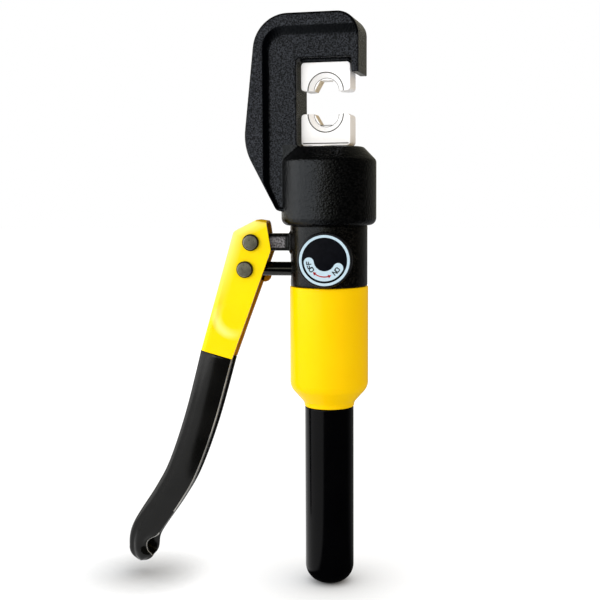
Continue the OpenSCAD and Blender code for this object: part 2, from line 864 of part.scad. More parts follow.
// The painted upper part of the channel, with the fold along its outer edge
module lever_upper() {
    out_dir = unit(cheek[0] - border_out);
    top_dir = unit(cheek[1] - cheek[0]);
    shift = unit(top_dir - out_dir) * sheet_t / sin(acos(-out_dir * top_dir) / 2);
    corner = cheek[0] + shift;
    difference() {
        plate(rounded(cheek, cheek_round), -channel_w / 2, channel_w / 2);
        plate([corner, corner + top_dir * far, [far, -far * 2], corner - out_dir * far * 2],
            -cheek_in, cheek_in);
    }
}

module lever_channel() {
    color(paint_yellow)
        translate([x_fulcrum, 0, z_fulcrum])
        difference() {
            union() {
                lever_upper();
                lever_steel();
                across_y(ear_r, cheek_in, channel_w / 2, ear_at[0], ear_at[1]);
            }
            across_y(pin_r + fixed_fit, -channel_w, channel_w, 0, 0);
            across_y(pin_r + fixed_fit, -channel_w, channel_w, -pin_out, -pin_rise);
        }
}

module lever_grip() {
    half = lever_w / 2 + dip_step;
    hollow = cheek_in - dip_t;
    color(vinyl_black)
        translate([x_fulcrum, 0, z_fulcrum])
        difference() {
            plate(concat(reversed(beside(lever_line, -half)), beside(lever_line, half),
                toe_arc(lever_line, half)), -dip_half, dip_half);
            plate(concat(reversed(beside(lever_line, sheet_t + dip_t - steel_half)),
                beside(lever_line, lever_w)), -hollow, hollow);
            lever_steel();
            lever_upper();
        }
}

pin_tail = 2.4;
pin_chamfer = 0.5;
clip_t = 1;
clip_bite = 0.6;
clip_out = 1.8;

module lever_pin(x, z) {
    head = channel_w / 2;
    tail = head + pin_tail;
    difference() {
        union() {
            across_y(pin_r, -head, tail, x, z);
            translate([x, -head, z]) rotate([90, 0, 0])
                cylinder(r1 = pin_head_r, r2 = pin_head_r - pin_chamfer, h = pin_head_h);
        }
        difference() {
            across_y(pin_r + past, head, head + clip_t + fixed_fit, x, z);
            across_y(pin_r - clip_bite, head - past, tail, x, z);
        }
    }
}

module fulcrum_pin() {
    color(dark_steel) lever_pin(x_fulcrum, z_fulcrum);
}

module plunger_pin() {
    color(dark_steel) lever_pin(x_pin, z_plunger);
}

module pin_clip(x, z) {
    difference() {
        across_y(pin_r + clip_out, channel_w / 2 + fixed_fit, channel_w / 2 + clip_t, x, z);
        across_y(pin_r - clip_bite + fixed_fit, 0, channel_w, x, z);
        translate([x, 0, z - pin_r / 3]) cube([far, far, pin_r * 2 / 3]);
    }
}

module pin_clips() {
    color(bright_steel) {
        pin_clip(x_fulcrum, z_fulcrum);
        pin_clip(x_pin, z_plunger);
    }
}

// Plunger: its eye has an upright slot, so that the pin can swing on its arc

arm = norm([pin_out, pin_rise]);
arm_lean = atan2(pin_out, pin_rise);
slot_side = 0.6;
slot_gap = 0.4;
slot_low = arm * (1 - cos(arm_lean)) + slot_gap;
slot_high = arm * (cos(arm_lean) - cos(arm_lean + lever_swing)) + slot_gap;
eye_wall = 2.4;
eye_top = 1.9;
plunger_in = 8;

module plunger() {
    eye_t = lug_t;
    slot_half = pin_r + slot_side;
    eye_half = slot_half + eye_wall;
    eye_low = pin_r + slot_low + eye_wall;
    eye_high = pin_r + slot_high + eye_top;
    inner_end = x_seal + seal_len + plunger_in;
    color(bright_steel)
        difference() {
            union() {
                across_x(plunger_r, x_pin, inner_end, z_plunger);
                translate([x_pin - eye_half, -eye_t / 2, z_plunger - eye_low])
                    cube([2 * eye_half, eye_t, eye_low + eye_high]);
            }
            translate([x_pin - slot_half, -eye_t, z_plunger - pin_r - slot_low])
                cube([2 * slot_half, 2 * eye_t, 2 * pin_r + slot_low + slot_high]);
        }
}

pump_body();
plunger_gland();
plunger_seal();
inlet_seat();
inlet_ball();
inlet_spring();
strainer();
outlet_ball();
outlet_spring();
outlet_plug();
release_ball();
reservoir_shell();
oil_bladder();
bladder_clamp();
handle_tube();
tube_plug();
fixed_grip();
retaining_ring();
c_head();
ram_guide_bush();
upper_die();
upper_die_ring();
ram();
piston_seal();
backup_ring();
lower_die();
lower_die_ring();
return_spring();
lever_channel();
lever_grip();
fulcrum_pin();
plunger_pin();
pin_clips();
plunger();
release_knob();
valve_stem();
stem_seal();
knob_screw();
knob_label();
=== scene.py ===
import math

import bmesh
import bpy
from mathutils import Matrix, Vector


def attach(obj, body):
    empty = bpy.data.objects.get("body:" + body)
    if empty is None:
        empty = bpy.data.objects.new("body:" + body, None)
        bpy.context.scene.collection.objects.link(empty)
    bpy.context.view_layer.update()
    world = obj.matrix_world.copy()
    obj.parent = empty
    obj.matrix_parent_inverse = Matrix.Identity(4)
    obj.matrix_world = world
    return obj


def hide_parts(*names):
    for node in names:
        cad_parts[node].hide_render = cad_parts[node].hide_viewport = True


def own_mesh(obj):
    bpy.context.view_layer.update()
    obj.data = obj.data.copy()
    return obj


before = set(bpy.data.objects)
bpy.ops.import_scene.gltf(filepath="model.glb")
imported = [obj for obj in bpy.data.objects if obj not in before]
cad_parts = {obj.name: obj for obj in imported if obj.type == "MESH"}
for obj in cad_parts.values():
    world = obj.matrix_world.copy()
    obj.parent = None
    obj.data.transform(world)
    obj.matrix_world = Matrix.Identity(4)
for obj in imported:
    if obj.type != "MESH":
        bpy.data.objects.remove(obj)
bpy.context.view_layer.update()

# Fixed handle grip: a black vinyl sleeve, hot dipped over the steel handle tube.
# It is smooth and glossy, with a rounded butt and a soft lip under the housing's skirt.

MM = 0.001
handle_wall_top = 45.0
handle_butt = -56.0
butt_round = 10.2
handle_radius = 13.6
handle_tube_radius = 11.02
handle_tube_foot = -45.0


def new_piece(name, points, faces):
    """A mesh from points in millimetres, with smooth faces that look outwards."""
    shape = bmesh.new()
    corners = [shape.verts.new(Vector(p) * MM) for p in points]
    for face in faces:
        shape.faces.new([corners[i] for i in face])
    bmesh.ops.recalc_face_normals(shape, faces=shape.faces)
    mesh = bpy.data.meshes.new(name)
    shape.to_mesh(mesh)
    shape.free()
    for face in mesh.polygons:
        face.use_smooth = True
    piece = bpy.data.objects.new(name, mesh)
    bpy.context.scene.collection.objects.link(piece)
    return piece


def rounded(points, radii, steps=10):
    """A flat outline whose corners are turned into arcs of the given radii."""
    outline = []
    count = len(points)
    for i, radius in enumerate(radii):
        corner = Vector(points[i])
        if radius == 0:
            outline.append(corner)
            continue
        before = (Vector(points[i - 1]) - corner).normalized()
        after = (Vector(points[(i + 1) % count]) - corner).normalized()
        half = before.angle(after) / 2
        middle = corner + (before + after).normalized() * (radius / math.sin(half))
        first = corner + before * (radius / math.tan(half)) - middle
        last = corner + after * (radius / math.tan(half)) - middle
        start = math.atan2(first.y, first.x)
        sweep = (math.atan2(last.y, last.x) - start + math.pi) % (2 * math.pi) - math.pi
        for k in range(steps + 1):
            angle = start + sweep * k / steps
            outline.append(middle + radius * Vector((math.cos(angle), math.sin(angle))))
    return outline


def turned(name, profile, closed=True, around=(0, 0), facing="up", steps=144):
    """A lathe-turned piece. The profile is radius and height; a front piece turns about Y."""
    points, rings = [], []
    for radius, height in profile:
        ring = []
        for k in range(steps if radius > 1e-6 else 1):
            angle = 2 * math.pi * k / steps
            across, deep = radius * math.cos(angle), radius * math.sin(angle)
            ring.append(len(points))
            if facing == "up":
                points.append((around[0] + across, around[1] + deep, height))
            else:
                points.append((around[0] + across, height, around[1] + deep))
        rings.append(ring)
    faces = []
    pairs = list(zip(rings, rings[1:]))
    if closed and len(rings[0]) > 1:
        pairs.append((rings[-1], rings[0]))
    for low, high in pairs:
        for k in range(steps):
            n = (k + 1) % steps
            corners = (low[k % len(low)], low[n % len(low)], high[n % len(high)], high[k % len(high)])
            face = tuple(dict.fromkeys(corners))
            if len(face) > 2:
                faces.append(face)
    return new_piece(name, points, faces)


def crease(piece, degrees=32):
    """Keeps edges sharper than the given angle crisp in the shading."""
    piece.data.set_sharp_from_angle(angle=math.radians(degrees))


def coat(piece, *finishes):
    """Gives the piece its finishes, in the order of its material slots."""
    for finish in finishes:
        piece.data.materials.append(finish)


def wire(tree, kind, inputs, operation=None, data_type=None):
    """Adds a shader node whose inputs take values or other nodes' outputs, and gives its outputs."""
    node = tree.nodes.new(kind)
    if operation is not None:
        node.operation = operation
    if data_type is not None:
        node.data_type = data_type
    for socket, source in inputs.items():
        if isinstance(source, bpy.types.NodeSocket):
            tree.links.new(source, node.inputs[socket])
        else:
            node.inputs[socket].default_value = source
    return node.outputs


def mottle(tree, place, scale, detail=3.0, stretch=(1, 1, 1)):
    """Cloudy noise in the piece's own coordinates, stretched along the axes."""
    spread = wire(tree, "ShaderNodeMapping", {"Vector": place, "Scale": stretch})["Vector"]
    return wire(tree, "ShaderNodeTexNoise", {"Vector": spread, "Scale": scale, "Detail": detail})["Fac"]


def spread_between(tree, value, low, high, start=0.3, end=0.7):
    """Maps a number, such as noise, onto a range of numbers."""
    inputs = {"Value": value, "From Min": start, "From Max": end, "To Min": low, "To Max": high}
    return wire(tree, "ShaderNodeMapRange", inputs)["Result"]


def two_tones(tree, value, dark, light, start=0.3, end=0.7):
    """Maps a number, such as noise, onto a blend of two colours."""
    tone = wire(tree, "ShaderNodeValToRGB", {"Fac": value})["Color"]
    stops = tone.node.color_ramp.elements
    for stop, position, colour in ((stops[0], start, dark), (stops[1], end, light)):
        stop.position = position
        stop.color = (*colour, 1)
    return tone


def raise_grain(tree, shader, heights):
    """Stacks bump layers, each a noise, its strength and its depth in millimetres."""
    inputs = {}
    for height, strength, depth in heights:
        inputs.update({"Strength": strength, "Distance": depth * MM, "Height": height})
        inputs["Normal"] = wire(tree, "ShaderNodeBump", inputs)["Normal"]
    tree.links.new(inputs["Normal"], shader.inputs["Normal"])


def new_finish(name, constants):
    """A material with its node tree, shader and object coordinates."""
    finish = bpy.data.materials.new(name)
    finish.use_nodes = True
    tree = finish.node_tree
    shader = tree.nodes["Principled BSDF"]
    for socket, value in constants.items():
        shader.inputs[socket].default_value = value
    return finish, tree, shader, wire(tree, "ShaderNodeTexCoord", {})["Object"]


def mottled(name, dark, light, cloud, rough, patches, constants, grain=()):
    """A finish whose tone and roughness wander with noise, over layers of fine grain."""
    finish, tree, shader, place = new_finish(name, constants)
    tone = two_tones(tree, mottle(tree, place, *cloud), dark, light)
    tree.links.new(tone, shader.inputs["Base Color"])
    roughness = spread_between(tree, mottle(tree, place, *patches), *rough)
    tree.links.new(roughness, shader.inputs["Roughness"])
    if grain:
        raise_grain(tree, shader, [(mottle(tree, place, *noise), strength, depth)
                                   for noise, strength, depth in grain])
    return finish


def dipped_vinyl(name, dark, light, gloss, rough_low, rough_high):
    """Vinyl as it sets after the dip: a fine grain over a slow swell."""
    return mottled(name, dark, light, (60, 4), (rough_low, rough_high), (220, 5),
                   {"Specular IOR Level": gloss}, [((1500, 2), 0.12, 0.05), ((140, 2), 0.10, 0.25)])


handle_vinyl = dipped_vinyl("handle_vinyl", (0.0004, 0.0004, 0.0007), (0.0009, 0.0009, 0.0012),
                            0.12, 0.12, 0.18)
handle_profile = rounded(
    [(0, handle_butt), (handle_radius, handle_butt), (handle_radius, handle_wall_top),
     (handle_tube_radius, handle_wall_top), (handle_tube_radius, handle_tube_foot), (0, handle_tube_foot)],
    [0, butt_round, 0.7, 0.2, 0, 0], 12)
handle_sleeve = turned("handle_sleeve", handle_profile, closed=False)
crease(handle_sleeve)
coat(handle_sleeve, handle_vinyl)
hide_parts("fixed_grip")
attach(handle_sleeve, "pump")

# Reservoir housing: a drawn steel shell, enamelled gloss yellow, that slides over the oil bladder.
# Its taper ends in a short skirt round the grip, and its top edge is rolled against the pump body.

shell_radius = 21.7
shell_bore = 19.5
shell_foot = handle_wall_top + 0.05
skirt_radius = 13.9
skirt_bore = handle_tube_radius + 0.1
skirt_top = 47.4
barrel_start = 56.2
shell_top = 112.5


def gloss_enamel(name, dark, light, gloss):
    """Stoved enamel: an even tone with a hard, slightly wavy gloss."""
    return mottled(name, dark, light, (45, 3), (0.16, 0.26), (300, 4),
                   {"Specular IOR Level": gloss, "Coat Weight": 0.03, "Coat Roughness": 0.08},
                   [((420, 2), 0.08, 0.10)])


shell_enamel = gloss_enamel("shell_enamel", (0.95, 0.58, 0.0008), (0.96, 0.61, 0.001), 0.04)
shell_profile = rounded(
    [(skirt_radius, shell_foot), (skirt_radius, skirt_top), (shell_radius, barrel_start),
     (shell_radius, shell_top), (shell_bore, shell_top), (shell_bore, barrel_start + 4),
     (skirt_bore, skirt_top + 3), (skirt_bore, shell_foot)],
    [0.9, 4, 8, 0.7, 0.4, 3, 1, 0.3], 12)
reservoir_housing = turned("reservoir_housing", shell_profile)
crease(reservoir_housing)
coat(reservoir_housing, shell_enamel)
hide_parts("reservoir_shell")
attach(reservoir_housing, "pump")

# Pump body: one iron casting, painted black, with the fulcrum lug standing out of its side.
# A spot face for the knob and the bores are machined; the neck goes up inside the head.

spigot_low = 98
spigot_radius = 19.48
body_low = 112.6
body_radius = 21.3
body_top = 145.7
neck_radius = 21.0
neck_top = 178.2
cylinder_radius = 16
cylinder_floor = 145.0
fulcrum = (-42.3, 136.8)
pin_below = (-45.7, 121.9)
knob_height = 127.9
lug_half_height = 4.8
lug_half_width = 4.5
lug_low = fulcrum[1] - lug_half_height
lug_high = fulcrum[1] + lug_half_height
lug_end = fulcrum[0] - lug_half_height
lug_start = -16
lug_round = lug_half_height - 0.1
root_end = -21.5
root_start = -17
root_low = 130.6
root_high = 143
root_half_width = 6.2


def settle(piece):
    """Turns what the piece's modifiers make into its own mesh."""
    graph = bpy.context.evaluated_depsgraph_get()
    made = bpy.data.meshes.new_from_object(piece.evaluated_get(graph))
    piece.modifiers.clear()
    before = piece.data
    piece.data = made
    bpy.data.meshes.remove(before)


def throw_away(piece):
    """Removes a piece that has done its work, with its mesh."""
    spent = piece.data
    bpy.data.objects.remove(piece)
    bpy.data.meshes.remove(spent)


def cut(piece, *cutters):
    """Takes the cutters out of the piece and throws them away."""
    for cutter in cutters:
        step = piece.modifiers.new("cut", "BOOLEAN")
        step.operation = "DIFFERENCE"
        step.solver = "EXACT"
        step.object = cutter
        settle(piece)
        throw_away(cutter)


def merge(piece, *others):
    """Puts the other meshes into the piece's mesh, as loose shells."""
    shape = bmesh.new()
    shape.from_mesh(piece.data)
    for other in others:
        shape.from_mesh(other.data)
        throw_away(other)
    shape.to_mesh(piece.data)
    shape.free()


def cast_skin(piece, grid, passes):
    """Pours the shells into one skin and softens its edges, as a casting has them."""
    pour = piece.modifiers.new("pour", "REMESH")
    pour.mode = "VOXEL"
    pour.voxel_size = grid * MM
    pour.use_smooth_shade = True
    soften = piece.modifiers.new("soften", "SMOOTH")
    soften.factor = 0.5
    soften.iterations = passes
    settle(piece)


def offset_outline(outline, inset):
    """The outline moved inwards by a small amount at every point."""
    count = len(outline)
    area = sum(outline[i - 1].cross(outline[i]) for i in range(count))
    hand = 1 if area > 0 else -1
    moved = []
    for i, point in enumerate(outline):
        along = (outline[(i + 1) % count] - point).normalized()
        back = (point - outline[i - 1]).normalized()
        first = Vector((-back.y, back.x)) * hand
        second = Vector((-along.y, along.x)) * hand
        middle = first + second
        moved.append(point + middle * (2 * inset / max(middle.length_squared, 0.5)))
    return moved


def lofted(name, *lofts):
    """Skins that are each drawn through rings of points and closed at both ends."""
    points, faces = [], []
    for rings in lofts:
        base, count = len(points), len(rings[0])
        points += [point for ring in rings for point in ring]
        last = len(points) - count
        faces += [tuple(range(base, base + count)), tuple(range(last, last + count))]
        for low in range(base, last, count):
            for i in range(count):
                n = (i + 1) % count
                faces.append((low + i, low + n, low + count + n, low + count + i))
    return new_piece(name, points, faces)


def layered(name, layers):
    """A closed shell through outlines in X and Z, each at its own depth along Y."""
    return lofted(name, [[(p.x, depth, p.y) for p in outline] for outline, depth in layers])


def slab(name, outline, half):
    """A plain plate across Y."""
    return layered(name, [(outline, -half), (outline, half)])


def soft_plate(name, outline, half, radius, steps=5):
    """A plate across Y whose long edges are rounded."""
    layers = []
    for k in range(steps + 1):
        angle = math.pi / 2 * k / steps
        layers.append((offset_outline(outline, radius * (1 - math.sin(angle))),
                       -half + radius * (1 - math.cos(angle))))
    layers += [(outline_k, -depth) for outline_k, depth in reversed(layers)]
    return layered(name, layers)


def rod(name, radius, start, end, steps=96):
    """A plain round cutter between two points."""
    base, tip = Vector(start), Vector(end)
    axis = (tip - base).normalized()
    side = axis.orthogonal().normalized()
    up = axis.cross(side)
    points = [base, tip]
    for k in range(steps):
        angle = 2 * math.pi * k / steps
        out = (side * math.cos(angle) + up * math.sin(angle)) * radius
        points += [base + out, tip + out]
    faces = []
    for k in range(steps):
        a, b = 2 + 2 * k, 2 + 2 * ((k + 1) % steps)
        faces += [(a, b, b + 1, a + 1), (0, b, a), (1, a + 1, b + 1)]
    return new_piece(name, points, faces)


def join(tree, operation, *values):
    """Works one number out of others."""
    return wire(tree, "ShaderNodeMath", dict(enumerate(values)), operation)[0]


def measure(tree, operation, place, other=(0, 0, 0)):
    """A number from a place and another point or direction."""
    return wire(tree, "ShaderNodeVectorMath", {0: place, 1: other}, operation)["Value"]


def blend(tree, share, first, second):
    """Mixes two colours by a share."""
    inputs = {"Factor": share, "A": first, "B": second}
    return wire(tree, "ShaderNodeMix", inputs, data_type="RGBA")["Result"]


def cast_paint(name, dark, light, gloss, rough_low, rough_high, grain_size, grain_depth, flat=None):
    """Paint over a cast skin; where it has a flat direction, the slopes between face and edge are painted
    dark as painted shade.
    """
    constants = {"Specular IOR Level": gloss, "Specular Tint": (0.86, 0.93, 1, 1)}
    finish, tree, shader, place = new_finish(name, constants)
    grain = mottle(tree, place, 1000 / grain_size, 2)
    tone = two_tones(tree, grain, dark, light, 0.42, 0.64)
    if flat is not None:
        normal = wire(tree, "ShaderNodeTexCoord", {})["Normal"]
        either_way = join(tree, "ABSOLUTE", measure(tree, "DOT_PRODUCT", normal, flat))
        outside_painted_shade = join(tree, "MAXIMUM", spread_between(tree, either_way, 0, 1, 0.95, 0.9995),
                     spread_between(tree, either_way, 1, 0, 0.2, 0.32))
        tone = blend(tree, outside_painted_shade, (*dark, 1), tone)
    tree.links.new(tone, shader.inputs["Base Color"])
    roughness = spread_between(tree, mottle(tree, place, 120, 6), rough_low, rough_high)
    tree.links.new(roughness, shader.inputs["Roughness"])
    raise_grain(tree, shader, [(grain, 1.0, grain_depth), (mottle(tree, place, 1800, 3), 0.4, 0.08)])
    return finish


def wear_and_sheen(finish, areas, tone, patchy=False):
    """Blends a finish towards a tone where an area's ramps overlap, each along a way or round a point; used
    for painted highlights and pale wear.
    """
    tree = finish.node_tree
    colour = tree.nodes["Principled BSDF"].inputs["Base Color"]
    paint = colour.links[0].from_socket
    place = wire(tree, "ShaderNodeTexCoord", {})["Object"]
    pale_share = None
    for area in areas:
        share = None
        for way, origin, none, full in area:
            if way == "round":
                flat = wire(tree, "ShaderNodeVectorMath", {0: place, 1: (1, 0, 1)}, "MULTIPLY")[0]
                reach = measure(tree, "DISTANCE", flat, (origin[0] * MM, 0, origin[1] * MM))
                at = 0
            else:
                reach = measure(tree, "DOT_PRODUCT", place, (way[0], 0, way[1]))
                at = Vector(way).dot(Vector(origin))
            (start, low), (end, high) = sorted(((at + none, 0), (at + full, 1)))
            ramp = spread_between(tree, reach, low, high, start * MM, end * MM)
            share = ramp if share is None else join(tree, "MULTIPLY", share, ramp)
        pale_share = share if pale_share is None else join(tree, "MAXIMUM", pale_share, share)
    if patchy:
        patches = spread_between(tree, mottle(tree, place, 900, 2), 0.15, 1.0, 0.36, 0.6)
        pale_share = join(tree, "MULTIPLY", pale_share, patches)
    tree.links.new(blend(tree, pale_share, paint, (*tone, 1)), colour)


body_paint = cast_paint("body_paint", (0.0006, 0.0006, 0.0006), (0.008, 0.0074, 0.006),
                        0.18, 0.18, 0.26, 0.9, 0.14)
# Paler, patchy grey on the middle of the lug: worn paint, and a painted highlight on its front face.
wear_sheen_low = (-33, fulcrum[1] - 3.4)
wear_sheen_high = (-23.5, fulcrum[1] + 3.2)
wear_and_sheen(body_paint, [[((1, 0), wear_sheen_low, 0, 1), ((-1, 0), wear_sheen_high, 0, 1), ((0, 1), wear_sheen_low, 0, 0.8),
                   ((0, -1), wear_sheen_high, 0, 0.8)]], (0.24, 0.23, 0.24), patchy=True)
body_profile = rounded(
    [(13, spigot_low), (spigot_radius, spigot_low + 6.5), (spigot_radius, body_low), (body_radius, body_low),
     (body_radius, body_top), (neck_radius, body_top), (neck_radius, neck_top), (cylinder_radius, neck_top),
     (cylinder_radius, cylinder_floor), (0, cylinder_floor)],
    [0, 0, 0, 0.6, 0.3, 0, 0.4, 0.4, 0, 0], 6)
body_casting = turned("body_casting", [(0, spigot_low)] + body_profile, closed=False, steps=192)
lug_line = rounded([(lug_end, lug_low), (lug_start, lug_low), (lug_start, lug_high), (lug_end, lug_high)],
                   [lug_round, 0, 0, lug_round], 12)
root_line = rounded([(root_end, root_low), (root_start, root_low), (root_start, root_high),
                     (root_end, root_high)], [1, 0, 0, 1], 6)
merge(body_casting, soft_plate("lug_plate", lug_line, lug_half_width, 1.8),
      slab("lug_root", root_line, root_half_width))
cast_skin(body_casting, 0.5, 5)
cut(body_casting,
    rod("spot_face", 15.1, (0, -60, knob_height), (0, -15, knob_height)),
    rod("gland_bore", 6.97, (-60, 0, pin_below[1]), (-14.1, 0, pin_below[1])),
    rod("plunger_bore", 3.95, (-15, 0, pin_below[1]), (2, 0, pin_below[1])),
    rod("stem_bore", 4.0, (0, -16, knob_height), (0, -8, knob_height)),
    rod("fulcrum_bore", 2.55, (fulcrum[0], -12, fulcrum[1]), (fulcrum[0], 12, fulcrum[1])))
crease(body_casting, 40)
coat(body_casting, body_paint)
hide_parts("pump_body")
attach(body_casting, "pump")

# Crimping head: a C-shaped steel forging, black painted over its coarse skin.
# A raised rim runs round the back and the crown, and the collar swivels on the pump body's neck.

window_floor = 188.8
head_turn = math.radians(-6.5)
turn_with_head = Matrix.Rotation(head_turn, 4, "Z")
window_half = 15.1
window_height = 46.9
nose_low = window_height - 8.1
head_height = 70.69
nose_end = 18.9
past_nose = 60
back_high = -36.9
back_low = -44.6
heel = (-26.45, -34.4)
foot = (-19.45, -36)
foot_end = 12.6
web_knee = -20.6
web_foot = -33.5
collar_radius = 26.13
collar_top = 19.0
shoulder_drop = 7.4
collar_depth = 42.8
collar_bore = 21.05
bush_bore = 15.57
bridge = 10.3
step_bore = 17.6
step_top = 2 - bridge
rim_half = 15.0
web_half = 12.5
seat_low = 44.9
seat_half = 13.6
shank_bore = 5.05
recess_steps = 8

# Painted shade and glints: the slopes from the rim down to the web are painted dark, and the grain's pale
# flecks are painted bright as glints.
head_paint = cast_paint("head_paint", (0.0004, 0.0006, 0.0011), (0.027, 0.029, 0.035), 0.14, 0.14, 0.2,
                        0.85, 0.4, flat=(-math.sin(head_turn), math.cos(head_turn), 0))
# The collar takes a darker copy of the same paint, with dim flecks: painted shade.
collar_paint = cast_paint("collar_paint", (0.0003, 0.0004, 0.0005), (0.0034, 0.0034, 0.0034),
                          0.25, 0.17, 0.24, 1.1, 0.4)
head_outline = rounded(
    [(foot_end, 0), (nose_end, 0), (nose_end, head_height), (back_high, head_height), (back_low, 0),
     heel, foot, (foot_end, foot[1])],
    [0, 0, 11.5, 19.5, 30, 3, 0, 0], 16)


def web_line(left, top, corner):
    """Outline of the thinner web inside the head's rim, open towards the nose."""
    return rounded([(past_nose, top), (left, top), (left, web_knee), (left + 5.5, web_foot),
                    (past_nose, web_foot)], [0, corner, 7.7, 0, 0], 14)


head_casting = soft_plate("head_casting", head_outline, rim_half, 1.3)
rim_line = web_line(-33.1, head_height - 7, 11)
band_line = web_line(-29.5, head_height - 13.3, 7.4)
for face in (-1, 1):
    layers = [(rim_line, face * (rim_half + 1))]
    for k in range(recess_steps + 1):
        share = k / recess_steps
        fillet_line = [Vector(a).lerp(Vector(b), share) for a, b in zip(rim_line, band_line)]
        sunk = (rim_half - web_half) * math.sin(share * math.pi / 2)
        layers.append((fillet_line, face * (rim_half - sunk)))
    cut(head_casting, layered("web_recess", layers))
window_line = rounded(
    [(-window_half, 0), (past_nose, 0), (past_nose, nose_low), (window_half, nose_low),
     (window_half, window_height), (-window_half, window_height)],
    [2.5, 0, 0, 0, 1.2, 2.5], 8)
neck_profile = [(0, -50), (collar_bore, -50), (collar_bore, -bridge), (step_bore, -bridge),
                (step_bore, step_top), (bush_bore, step_top), (bush_bore, 1), (0, 1)]
cut(head_casting, slab("window", window_line, 20), turned("neck_room", neck_profile, closed=False))
collar_ring = turned("collar_ring", rounded(
    [(collar_bore, -collar_depth), (collar_radius, -collar_depth), (collar_radius, -shoulder_drop),
     (collar_top, 0), (bush_bore, 0), (bush_bore, step_top), (step_bore, step_top), (step_bore, -bridge),
     (collar_bore, -bridge)],
    [0.3, 4, 3, 2.5, 0, 0, 0, 0, 0], 12), steps=192)
seat_pad = soft_plate("seat_pad", rounded(
    [(-seat_half, seat_low), (seat_half, seat_low), (seat_half, window_height + 1),
     (-seat_half, window_height + 1)], [0.6, 0.6, 0, 0], 4), 7.5, 0.4)
for shell in (head_casting, seat_pad):
    cut(shell, rod("shank_room", shank_bore, (0, 0, seat_low - 1), (0, 0, seat_low + 11)))
merge(head_casting, collar_ring, seat_pad)
cast_skin(head_casting, 0.4, 8)
coat(head_casting, head_paint, collar_paint)
for face in head_casting.data.polygons:
    middle = face.center / MM
    face.material_index = int(middle.z < 1 and math.hypot(middle.x, middle.y) < collar_radius + 0.2)
head_casting.data.transform(Matrix.Translation((0, 0, window_floor * MM)) @ turn_with_head)
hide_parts("c_head")
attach(head_casting, "head")

# Dies: a pair of hardened steel blocks, ground and bright plated, each with half a hexagon.
# The nest is countersunk on both faces; a round shank snaps into the head or into the ram.

die_half_width = 13.6
die_half_depth = 7.5
lower_face = 206.2
upper_face = 218.5
shank_radius = 5
nest_half = 6.7
nest_deep = nest_half * math.sqrt(3) / 2
nest_rim = 9.6
nest_sink = 2.6
sink_clear = 0.005

die_plating = mottled("die_plating", (0.97, 0.97, 0.965), (0.985, 0.985, 0.98), (260, 5), (0.26, 0.4),
                      (500, 4, (1, 1, 12)), {"Specular IOR Level": 0.3}, [((900, 3, (1, 1, 18)), 0.06, 0.03)])
# Painted shade: the nest's side walls take a darker tan than the plating.
nest_wall_shade = mottled("nest_wall_shade", (0.66, 0.55, 0.37), (0.78, 0.66, 0.47), (400, 4), (0.3, 0.45),
                     (900, 3, (1, 12, 1)), {})


def hex_die(name, height, turned_over):
    """A die block with its parting face at zero, hanging down, or standing up when turned over."""
    block = rounded([(-die_half_width, -height), (die_half_width, -height), (die_half_width, 0),
                     (-die_half_width, 0)], [2.0, 2.0, 2.0, 2.0], 8)
    die = soft_plate(name, block, die_half_depth, 0.35, 3)
    nest = [Vector(p) for p in ((-nest_half - 1, 1), (-nest_half, 0), (-nest_half / 2, -nest_deep),
                                (nest_half / 2, -nest_deep), (nest_half, 0), (nest_half + 1, 1))]
    cut(die, slab("nest", nest, 20))
    for side in (-1, 1):
        sink = [(r, side * (die_half_depth + sink_clear - d)) for r, d in
                ((0, 0), (nest_rim, 0), (nest_rim - nest_sink, nest_sink), (0, nest_sink))]
        cut(die, turned("sink", sink, closed=False, facing="front", steps=128))
    shank = rounded([(0, -height - 10), (shank_radius, -height - 10), (shank_radius, -height + 1),
                     (0, -height + 1)], [0, 0.6, 0, 0], 4)
    merge(die, turned("shank", shank, closed=False, steps=64))
    if turned_over:
        die.data.transform(Matrix.Diagonal((1, 1, -1, 1)))
        die.data.flip_normals()
    coat(die, die_plating, nest_wall_shade)
    for face in die.data.polygons:
        face.use_smooth = False
        middle = face.center / MM
        in_nest = abs(middle.x) < nest_half + 0.1 and abs(middle.z) < nest_deep + 0.1
        face.material_index = int(in_nest and abs(face.normal.y) < 0.3 and abs(face.normal.z) < 0.8)
    return die


# Painted shade: thin near-black lines let into the dies along the countersinks' edges, the nest's floor edge
# and the lower die's foot.
edge_shade_black = mottled("edge_shade_black", (0.006, 0.005, 0.004), (0.03, 0.026, 0.02), (500, 3), (0.5, 0.7),
                       (900, 3), {})
shade_line_width = 0.55
shade_line_deep = 0.25
shade_line_proud = 0.02
shade_line_angles = [math.pi * k / 64 for k in range(65)]
foot_line = 190.2
foot_half = 12.6
nest_shade_line = 0.4
nest_line = lower_face - nest_deep - nest_shade_line
nest_line_half = 3.3


def edge_shade_lines(name, body, height, way):
    """Dark lines round the nest, and on the lower die along its foot, let into both faces of a die that opens
    down or up: painted shade along those edges.
    """
    lofts = []

    def section(side, inset, start, end):
        """The four corners of a line's cross-section in one face of the die."""
        face = side * (die_half_depth - inset)
        proud, deep = face + side * shade_line_proud, face - side * shade_line_deep
        return (start, proud), (end, proud), (end, deep), (start, deep)

    for radius, inset in ((nest_rim - 0.1, 0), (nest_rim - nest_sink - 0.25, nest_sink)):
        for side in (-1, 1):
            lofts.append([[(r * math.cos(angle), y, height + way * max(r * math.sin(angle), 0.05))
                           for r, y in section(side, inset, radius, radius + shade_line_width)]
                          for angle in shade_line_angles])
    if way < 0:
        for half, inset, low, wide in ((foot_half, 0, foot_line, shade_line_width),
                                       (nest_line_half, nest_sink, nest_line, nest_shade_line)):
            for side in (-1, 1):
                lofts.append([[(x, y, z) for x, y in section(side, inset, -half, half)]
                              for z in (low, low + wide)])
    lines = lofted(name, *lofts)
    crease(lines, 30)
    lines.data.transform(turn_with_head)
    coat(lines, edge_shade_black)
    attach(lines, body)


